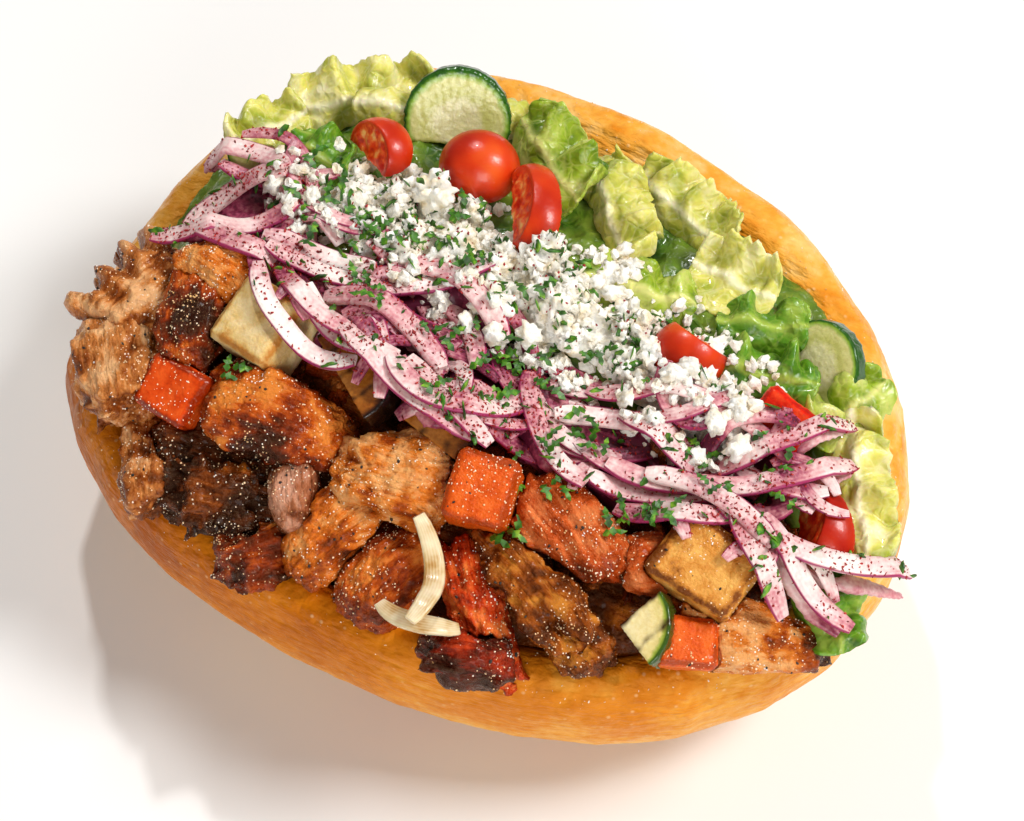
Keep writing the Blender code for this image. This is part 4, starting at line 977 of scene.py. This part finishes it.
def scatterTree(name):  # strews one kind of grain over a surface, at true size, and makes it real
    tree, add, given = newTree(name, {
        "Per Square Metre": "Float", "Smallest": "Float", "Largest": "Float", "Lift": "Float",
        "Steepest": "Float", "Clumping": "Float", "Seed": "Int", "Grain": "Object", "Finish": "Material",
    })
    normal = add("GeometryNodeInputNormal", out=0)
    up = add("ShaderNodeSeparateXYZ", {0: normal}, "Z")
    facing = add("FunctionNodeCompare", (up, given["Steepest"]), 0, operation="GREATER_THAN")
    cloud = add("ShaderNodeTexNoise", {"Scale": perMm / clumpSize, "Detail": 3}, 0)
    share = add("ShaderNodeMapRange", (cloud, 0.42, 0.68, 0.0, 3.2), 0)
    uneven = add("ShaderNodeMix", {0: given["Clumping"], 2: 1.0, 3: share}, 0)
    density = add("ShaderNodeMath", (given["Per Square Metre"], uneven), 0, operation="MULTIPLY")
    points = add("GeometryNodeDistributePointsOnFaces", {
        "Mesh": given["Geometry"], "Selection": facing, "Density": density, "Seed": given["Seed"],
    }, "Points", distribute_method="RANDOM")
    grain = add("GeometryNodeObjectInfo", {"Object": given["Grain"]}, "Geometry")
    size = add("FunctionNodeRandomValue", {
        2: given["Smallest"], 3: given["Largest"], "Seed": given["Seed"]}, 1, data_type="FLOAT")
    wide = add("FunctionNodeRandomValue", {
        0: (0.7, 0.7, 0.7), 1: (1.3, 1.3, 1.3), "Seed": 4}, 0, data_type="FLOAT_VECTOR")
    scale = add("ShaderNodeVectorMath", {0: wide, "Scale": size}, 0, operation="SCALE")
    spin = add("FunctionNodeRandomValue", {
        0: (0, 0, 0), 1: (6.28, 6.28, 6.28), "Seed": 9}, 0, data_type="FLOAT_VECTOR")
    copies = add("GeometryNodeInstanceOnPoints", {
        "Points": points, "Instance": grain, "Rotation": spin, "Scale": scale}, 0)
    raised = add("ShaderNodeCombineXYZ", {"Z": given["Lift"]}, 0)
    moved = add("GeometryNodeTranslateInstances", {
        "Instances": copies, "Translation": raised, "Local Space": False}, 0)
    endTree(add, moved, given["Finish"])
    return tree


def newGrain(subdivisions, shape, seed):  # an uneven grain of about unit size
    rough, bumps, long, flat, *curds = shape
    bm = bmesh.new()
    bmesh.ops.create_icosphere(bm, subdivisions=subdivisions, radius=0.5)
    for v in bm.verts:
        bump = 1 + rough * noise.noise(v.co * bumps + Vector((seed, 0, 0)))
        if curds:  # how deep they are parted, and how many to a grain
            bump += curds[0] * (0.5 - noise.voronoi(v.co * curds[1] + Vector((0, seed, 0)))[0][0])
        v.co *= bump
        v.co.x *= long
        v.co.z *= flat
    mesh = meshOf(bm, "grain")
    mesh.shade_smooth()
    return newPiece("grain", mesh)


def strew(name, surface, grain, finish, amount):  # one kind of grain on a surface, in the amount given
    density, smallest, largest, lift, steepest, clumping, seed = amount
    mesh = runTree(surface, scatterTree(name + " scatter"), {
        "Per Square Metre": density, "Smallest": smallest * mm, "Largest": largest * mm, "Lift": lift * mm,
        "Steepest": steepest, "Clumping": clumping, "Seed": seed, "Grain": grain, "Finish": finish,
    })
    bpy.data.objects.remove(grain)
    return newPiece(name, mesh)


def copyOf(*objs):  # a joined copy, to strew on
    bm = bmesh.new()
    for obj in objs:
        bm.from_mesh(obj.data)
    return newPiece("ground", meshOf(bm, "ground"))


def fetaCurd():
    # Brined white cheese, crumbled by hand: chalky, off-white and matte, a little damp.
    made, add, place = newMaterial("crumbled white cheese", {
        "Roughness": 0.62, "IOR": 1.42, **litWithin(0.3, 3, (1.0, 0.9, 0.75))})
    chalk = add("ShaderNodeTexNoise", {"Vector": place, "Scale": perMm / 3.333, "Detail": 5}, "Fac")
    colour = add("ShaderNodeValToRGB", {"Fac": chalk}, "Color", stops=[
        (0.3, "#F4E0BC"), (0.46, "#FCF3E2"), (0.66, "#FFFDF4")])
    crumbs = add("ShaderNodeTexNoise", {"Vector": place, "Scale": perMm / 1.0526, "Detail": 5}, "Fac")
    return dressMaterial(made, {"Base Color": colour}, crumbs, 0.9, 0.7)


feta = {  # how many in a square metre, smallest, largest, lift (mm), steepest, clumping, seed
    "small": (170000.0, 1.0, 3.2, 0.3, 0.1, 0.3, 3),
    "large": (26000.0, 4.0, 8.0, 1.0, 0.3, 0.2, 8),
    "stray": (60000.0, 0.9, 3.4, 0.3, 0.2, 0.5, 14),
    "fallen": (13000.0, 3.0, 6.0, 0.6, 0.45, 0.3, 19),
    "reach": 8.5,  # how far from the heap the fallen crumbs lie
    # roughness, bumps, length, height, how deep the curds are parted and how many to a crumb
    "smallGrain": (0.7, 2.6, 1.1, 0.9, 0.6, 3.0),
    "largeGrain": (0.5, 3.0, 1.1, 0.85, 1.0, 4.4),
}


def makeFeta(onions, salad):  # the crumbled cheese: its bed, its crumbs and those that fell off
    finish = fetaCurd()
    heap = softened("feta_bed", "feta_heap", 0.7, 2)
    reshape(heap, lambda p, normal: 0.5 - 1.5 * noise.voronoi(p / 2.6)[0][0] + 0.9 * shapeAt(p, 6, 1))
    coat(heap, finish)
    ground = copyOf(heap)
    small, large = feta["smallGrain"], feta["largeGrain"]
    bits = strew("feta_small_crumbs", ground, newGrain(2, small, 1), finish, feta["small"])
    lumps = strew("feta_large_crumbs", ground, newGrain(4, large, 7), finish, feta["large"])
    bpy.data.objects.remove(ground)
    edge = around(heap, feta["reach"], onions, *salad)  # crumbs that rolled down onto the onion and leaves
    stray = strew("feta_stray_crumbs", edge, newGrain(2, small, 5), finish, feta["stray"])
    fallen = strew("feta_fallen_lumps", edge, newGrain(3, large, 3), finish, feta["fallen"])
    bpy.data.objects.remove(edge)
    for crumbs in (bits, stray):
        crumbs.data.shade_flat()
    for crumbs in (lumps, fallen):
        crumbs.data.shade_smooth()
    for crumbs in (bits, lumps, stray, fallen):
        finishPiece(crumbs, "feta_heap")
    finishPiece(heap, "feta_heap", "feta_heap")
    return heap, lumps


def around(heap, reach, *objs):  # the parts of the pieces' tops that lie near the heap
    tree = treeOf(heap)
    ground = copyOf(*objs)
    bm = bmesh.new()
    bm.from_mesh(ground.data)

    def isFar(face):
        return face.normal.z < 0.1 or tree.find_nearest(face.calc_center_median(), reach * mm)[0] is None

    bmesh.ops.delete(bm, geom=[face for face in bm.faces if isFar(face)], context="FACES")
    bm.to_mesh(ground.data)
    bm.free()
    return ground


def plainSpice(name, tones, constants, size):  # a material with three mixed tones
    made, add, place = newMaterial(name, constants)
    speck = add("ShaderNodeTexNoise", {"Vector": place, "Scale": perMm / size, "Detail": 3}, "Fac")
    stops = list(zip((0.35, 0.55, 0.7), tones))
    colour = add("ShaderNodeValToRGB", {"Fac": speck}, "Color", stops=stops)
    return dressMaterial(made, {"Base Color": colour})


spices = {  # how many in a square metre, smallest, largest, lift (mm), steepest, clumping, seed
    "sumac_flakes": (520000.0, 0.25, 0.85, 0.05, 0.2, 0.75, 21),
    "sumac_on_cheese": (80000.0, 0.25, 0.85, 0.05, 0.2, 0.75, 23),
    "chopped_herbs": (110000.0, 0.6, 1.9, 0.15, 0.3, 0.7, 51),
    "herbs_on_onion": (26000.0, 0.6, 1.9, 0.15, 0.3, 0.7, 57),
    "cracked_pepper": (20000.0, 0.35, 0.9, 0.0, 0.1, 0.5, 31),
    # painted highlights: pale beads that stand in for glints on the meat, the vegetables and the bread
    "oil_beads": (380000.0, 0.16, 0.55, 0.0, -0.1, 0.7, 41),
    "oil_on_bread": (60000.0, 0.16, 0.55, 0.0, 0.35, 0.7, 43),
}
grains = {  # roughness, bumps, length, height
    "flake": (0.8, 2.5, 1.4, 0.45), "leaf": (0.9, 2.2, 1.9, 0.22), "pepper": (0.7, 2, 1.1, 0.8),
    "bead": (0.0, 1, 1.0, 0.8), "film": (0.3, 3, 1.4, 0.5),
}


def spread(name, slot, ground, finish, subdivisions, shape, seed):  # strews one spice
    bits = strew(name, ground, newGrain(subdivisions, grains[shape], seed), finish, spices[name])
    finishPiece(bits, slot)
    return bits


def makeSpices(onions, fetaPieces, roasts, bases):
    # Sumac, herbs, pepper and beads of fat coloured pale as painted glints, on copies of what they lie on.
    onionTop, fetaTop, roastTop, oilTop = copyOf(onions), copyOf(*fetaPieces), copyOf(*roasts), copyOf(*bases)
    rim = copyOf(bpy.data.objects["flatbread"])
    # Ground sumac: coarse, dark red, slightly damp flakes.
    sumacRed = plainSpice("ground sumac", ("#6E0A0C", "#A41614", "#C8382A"), {"Roughness": 0.5}, 2)
    spread("sumac_flakes", "onion_heap", onionTop, sumacRed, 1, "flake", 2)
    spread("sumac_on_cheese", "onion_heap", fetaTop, sumacRed, 1, "flake", 4)
    # Chopped parsley and dill: thin, dark green, ragged bits.
    herbGreen = plainSpice("chopped green herbs", ("#1C4006", "#3F7A10", "#86B22C"), {
        "Roughness": 0.45, "Subsurface Weight": 0.1, "Subsurface Scale": 1 * mm}, 2.5)
    spread("chopped_herbs", "lettuce_dark_top", fetaTop, herbGreen, 2, "leaf", 6)
    spread("herbs_on_onion", "lettuce_dark_top", onionTop, herbGreen, 2, "leaf", 8)
    # Coarse black pepper.
    pepperBlack = plainSpice("cracked black pepper", ("#0C0806", "#24180F", "#4A3420"), {
        "Roughness": 0.5}, 1.11)
    spread("cracked_pepper", "meat_dark_crust", roastTop, pepperBlack, 1, "pepper", 3)
    # Beads of hot fat: small and shiny, coloured pale gold to white as painted highlights that stand in for
    # glints.
    paintedGlintGold = plainSpice("beads of fat", ("#EAB878", "#FFE6C0", "#FFFFFF"), {
        "Roughness": 0.08, "IOR": 1.5}, 3.33)
    spread("oil_beads", "meat_glazed_breast", oilTop, paintedGlintGold, 1, "bead", 3).data.shade_smooth()
    spread("oil_on_bread", "bread", rim, paintedGlintGold, 1, "film", 5).data.shade_smooth()
    for extra in (onionTop, fetaTop, roastTop, oilTop, rim):
        bpy.data.objects.remove(extra)
    return herbGreen


sprigs = {  # x, y, heading, length in mm, leaflets
    "leaf": 3.8, "extra": 34,
    "stems": [
        (20, -2, 30, 17, 7), (9, -10, 75, 9, 4), (28, -29, -60, 10, 5), (37, -31, 10, 9, 4),
        (52, -33, 80, 10, 4), (60, -28, 20, 8, 4), (40, -18, 150, 9, 4), (34, 25, -40, 9, 4),
        (-4, -11, 20, 9, 4), (-43, -39, 60, 5, 3), (5, -29, 100, 6, 3), (-44, 11, 60, 8, 4),
        (-28, 7, 120, 8, 4), (10, 9, 10, 8, 4), (69, -5, 10, 8, 4), (30, -43, 40, 8, 4),
        (-52, 20, 20, 10, 5), (-15, 20, 80, 8, 4),
    ],
    "lift": 0.7, "thick": 0.22,
    "edge": [(0, 0.05), (0.2, 0.26), (0.36, 0.1), (0.62, 0.36), (0.7, 0.12), (1.0, 0.2), (1.35, 0.0),
             (1.0, -0.16), (0.76, -0.1), (0.55, -0.34), (0.4, -0.1), (0.22, -0.24), (0, -0.05)],
}


def addLeaflet(bm, spot, lean, flat, size):  # a toothed leaflet with a slight bow
    top, low = [], []
    for a, b in sprigs["edge"]:
        bow = 0.25 * size * math.sin(math.pi * min(1, a)) * Vector((0, 0, 1))
        at = spot + lean * a * size + flat * b * size + bow
        top.append(bm.verts.new(at + Vector((0, 0, sprigs["thick"] * mm))))
        low.append(bm.verts.new(at))
    bm.faces.new(top[::-1])
    bm.faces.new(low)
    for i in range(len(top)):
        j = (i + 1) % len(top)
        bm.faces.new((top[i], top[j], low[j], low[i]))


def makeSprigs(finish, carriers):  # toothed herb leaflets, in sprigs and single
    ground = [treeOf(*carriers)]
    bm = bmesh.new()
    draw = random.Random(12)
    stems = sprigs["stems"][:]
    for _ in range(sprigs["extra"]):  # single leaflets along the onion
        x = draw.uniform(-60, 88)
        y = -4 - 0.14 * x + draw.uniform(-17, 12)
        stems.append((x, y, draw.uniform(0, 360), 5, draw.choice((1, 2, 3))))
    for x, y, heading, length, count in stems:
        way = Vector((math.cos(math.radians(heading)), math.sin(math.radians(heading)), 0))
        side = Vector((-way.y, way.x, 0))
        for index in range(count):
            along = (index + 0.5) / count
            spot = Vector((x, y, 0)) * mm + way * (along - 0.5) * length * mm
            spot.z = topAt(spot.x, spot.y, ground) + sprigs["lift"] * mm
            if spot.z < 0:  # nothing under it
                continue
            lean = side * (1 if index % 2 else -1) + way * 0.9
            lean.z = draw.uniform(0.0, 0.35)
            lean.normalize()
            size = sprigs["leaf"] * mm * draw.uniform(0.7, 1.2)
            flat = Vector((-lean.y, lean.x, draw.uniform(-0.4, 0.4))).normalized()
            addLeaflet(bm, spot, lean, flat, size)
    bmesh.ops.recalc_face_normals(bm, faces=bm.faces)
    bmesh.ops.triangulate(bm, faces=bm.faces)
    obj = newPiece("herb_sprigs", meshOf(bm, "herb_sprigs"), finish)
    finishPiece(obj, "lettuce_dark_top")


studio = {
    "azimuth": 27.5, "elevation": 57.0, "distance": 0.56, "lens": 83.5, "aim": (0.013, -0.006, 0.060),
    "sky": 0.2,
    "lamps": {  # place, aim, size, watts
        "key": ((0.7, 0.3, 1.0), (0, 0, 0.05), 0.35, 11.5),
        "fill": ((0.6, -1.0, 0.55), (0, 0, 0.05), 0.6, 8),
        "glint": ((-0.35, 0.45, 0.9), (0, 0, 0.06), 0.05, 4),
    },
}


def aimed(data, name, place, way):  # a lamp or camera at a place, looking along the way
    obj = bpy.data.objects.new(name, data)
    obj.location = place
    obj.rotation_euler = way.to_track_quat("-Z", "Y").to_euler()
    bpy.context.scene.collection.objects.link(obj)
    return obj


def makeStudio():  # a pale floor, three lamps and the camera
    bm = bmesh.new()
    bmesh.ops.create_grid(bm, x_segments=1, y_segments=1, size=3)
    made = plainMaterial("pale studio floor", {"Roughness": 0.9, "Base Color": linear("#F4F3F1")})
    floor = newPiece("floor", meshOf(bm, "floor"), made)
    world = bpy.data.worlds.new("studio")
    bpy.context.scene.world = world
    bpy.context.scene.view_settings.view_transform = "Standard"
    world.use_nodes = True
    sky = world.node_tree.nodes["Background"]
    sky.inputs["Color"].default_value = linear("#FFF9F0")
    sky.inputs["Strength"].default_value = studio["sky"]
    for name, (place, aim, size, watts) in studio["lamps"].items():
        lamp = bpy.data.lights.new(name, "AREA")
        lamp.energy = watts
        lamp.size = size
        aimed(lamp, name, place, Vector(aim) - Vector(place))
    camera = bpy.data.cameras.new("camera")
    camera.lens = studio["lens"]
    camera.clip_start = 0.01
    azimuth, elevation = math.radians(studio["azimuth"]), math.radians(studio["elevation"])
    level = math.cos(elevation)
    back = Vector((math.sin(azimuth) * level, -math.cos(azimuth) * level, math.sin(elevation)))
    place = Vector(studio["aim"]) + back * studio["distance"]
    bpy.context.scene.camera = aimed(camera, "camera", place, -back)


makeStudio()
print("studio ready")
makeBread()
print("bread baked")
makeMeats()
print("meat roasted")
makeDice()
makeSlices()
makeTomatoes()
print("vegetables cut")
makeLettuce()
print("lettuce laid")
makeFriedOnions()
strips = makeOnions(redOnion())
print("onions strewn")
pieces = bpy.data.objects
greens = [pieces[node.replace("lettuce_", "leaf_")] for node in leaves]
fetaPieces = makeFeta(strips, [*greens, pieces["packed_salad"]])
print("cheese crumbled")
roasts = [pieces[name.replace("meat_", "roast_")] for name in meats]
cubes = [pieces[name] for name in ("potato_cube_right", "carrot_cube_large", "carrot_cube_small")]
herbFinish = makeSpices(strips, fetaPieces, roasts + cubes, [*roasts, *cubes, pieces["pepper_cube"]])
makeSprigs(herbFinish, [strips, *fetaPieces, *roasts])
print("spices and herbs on")
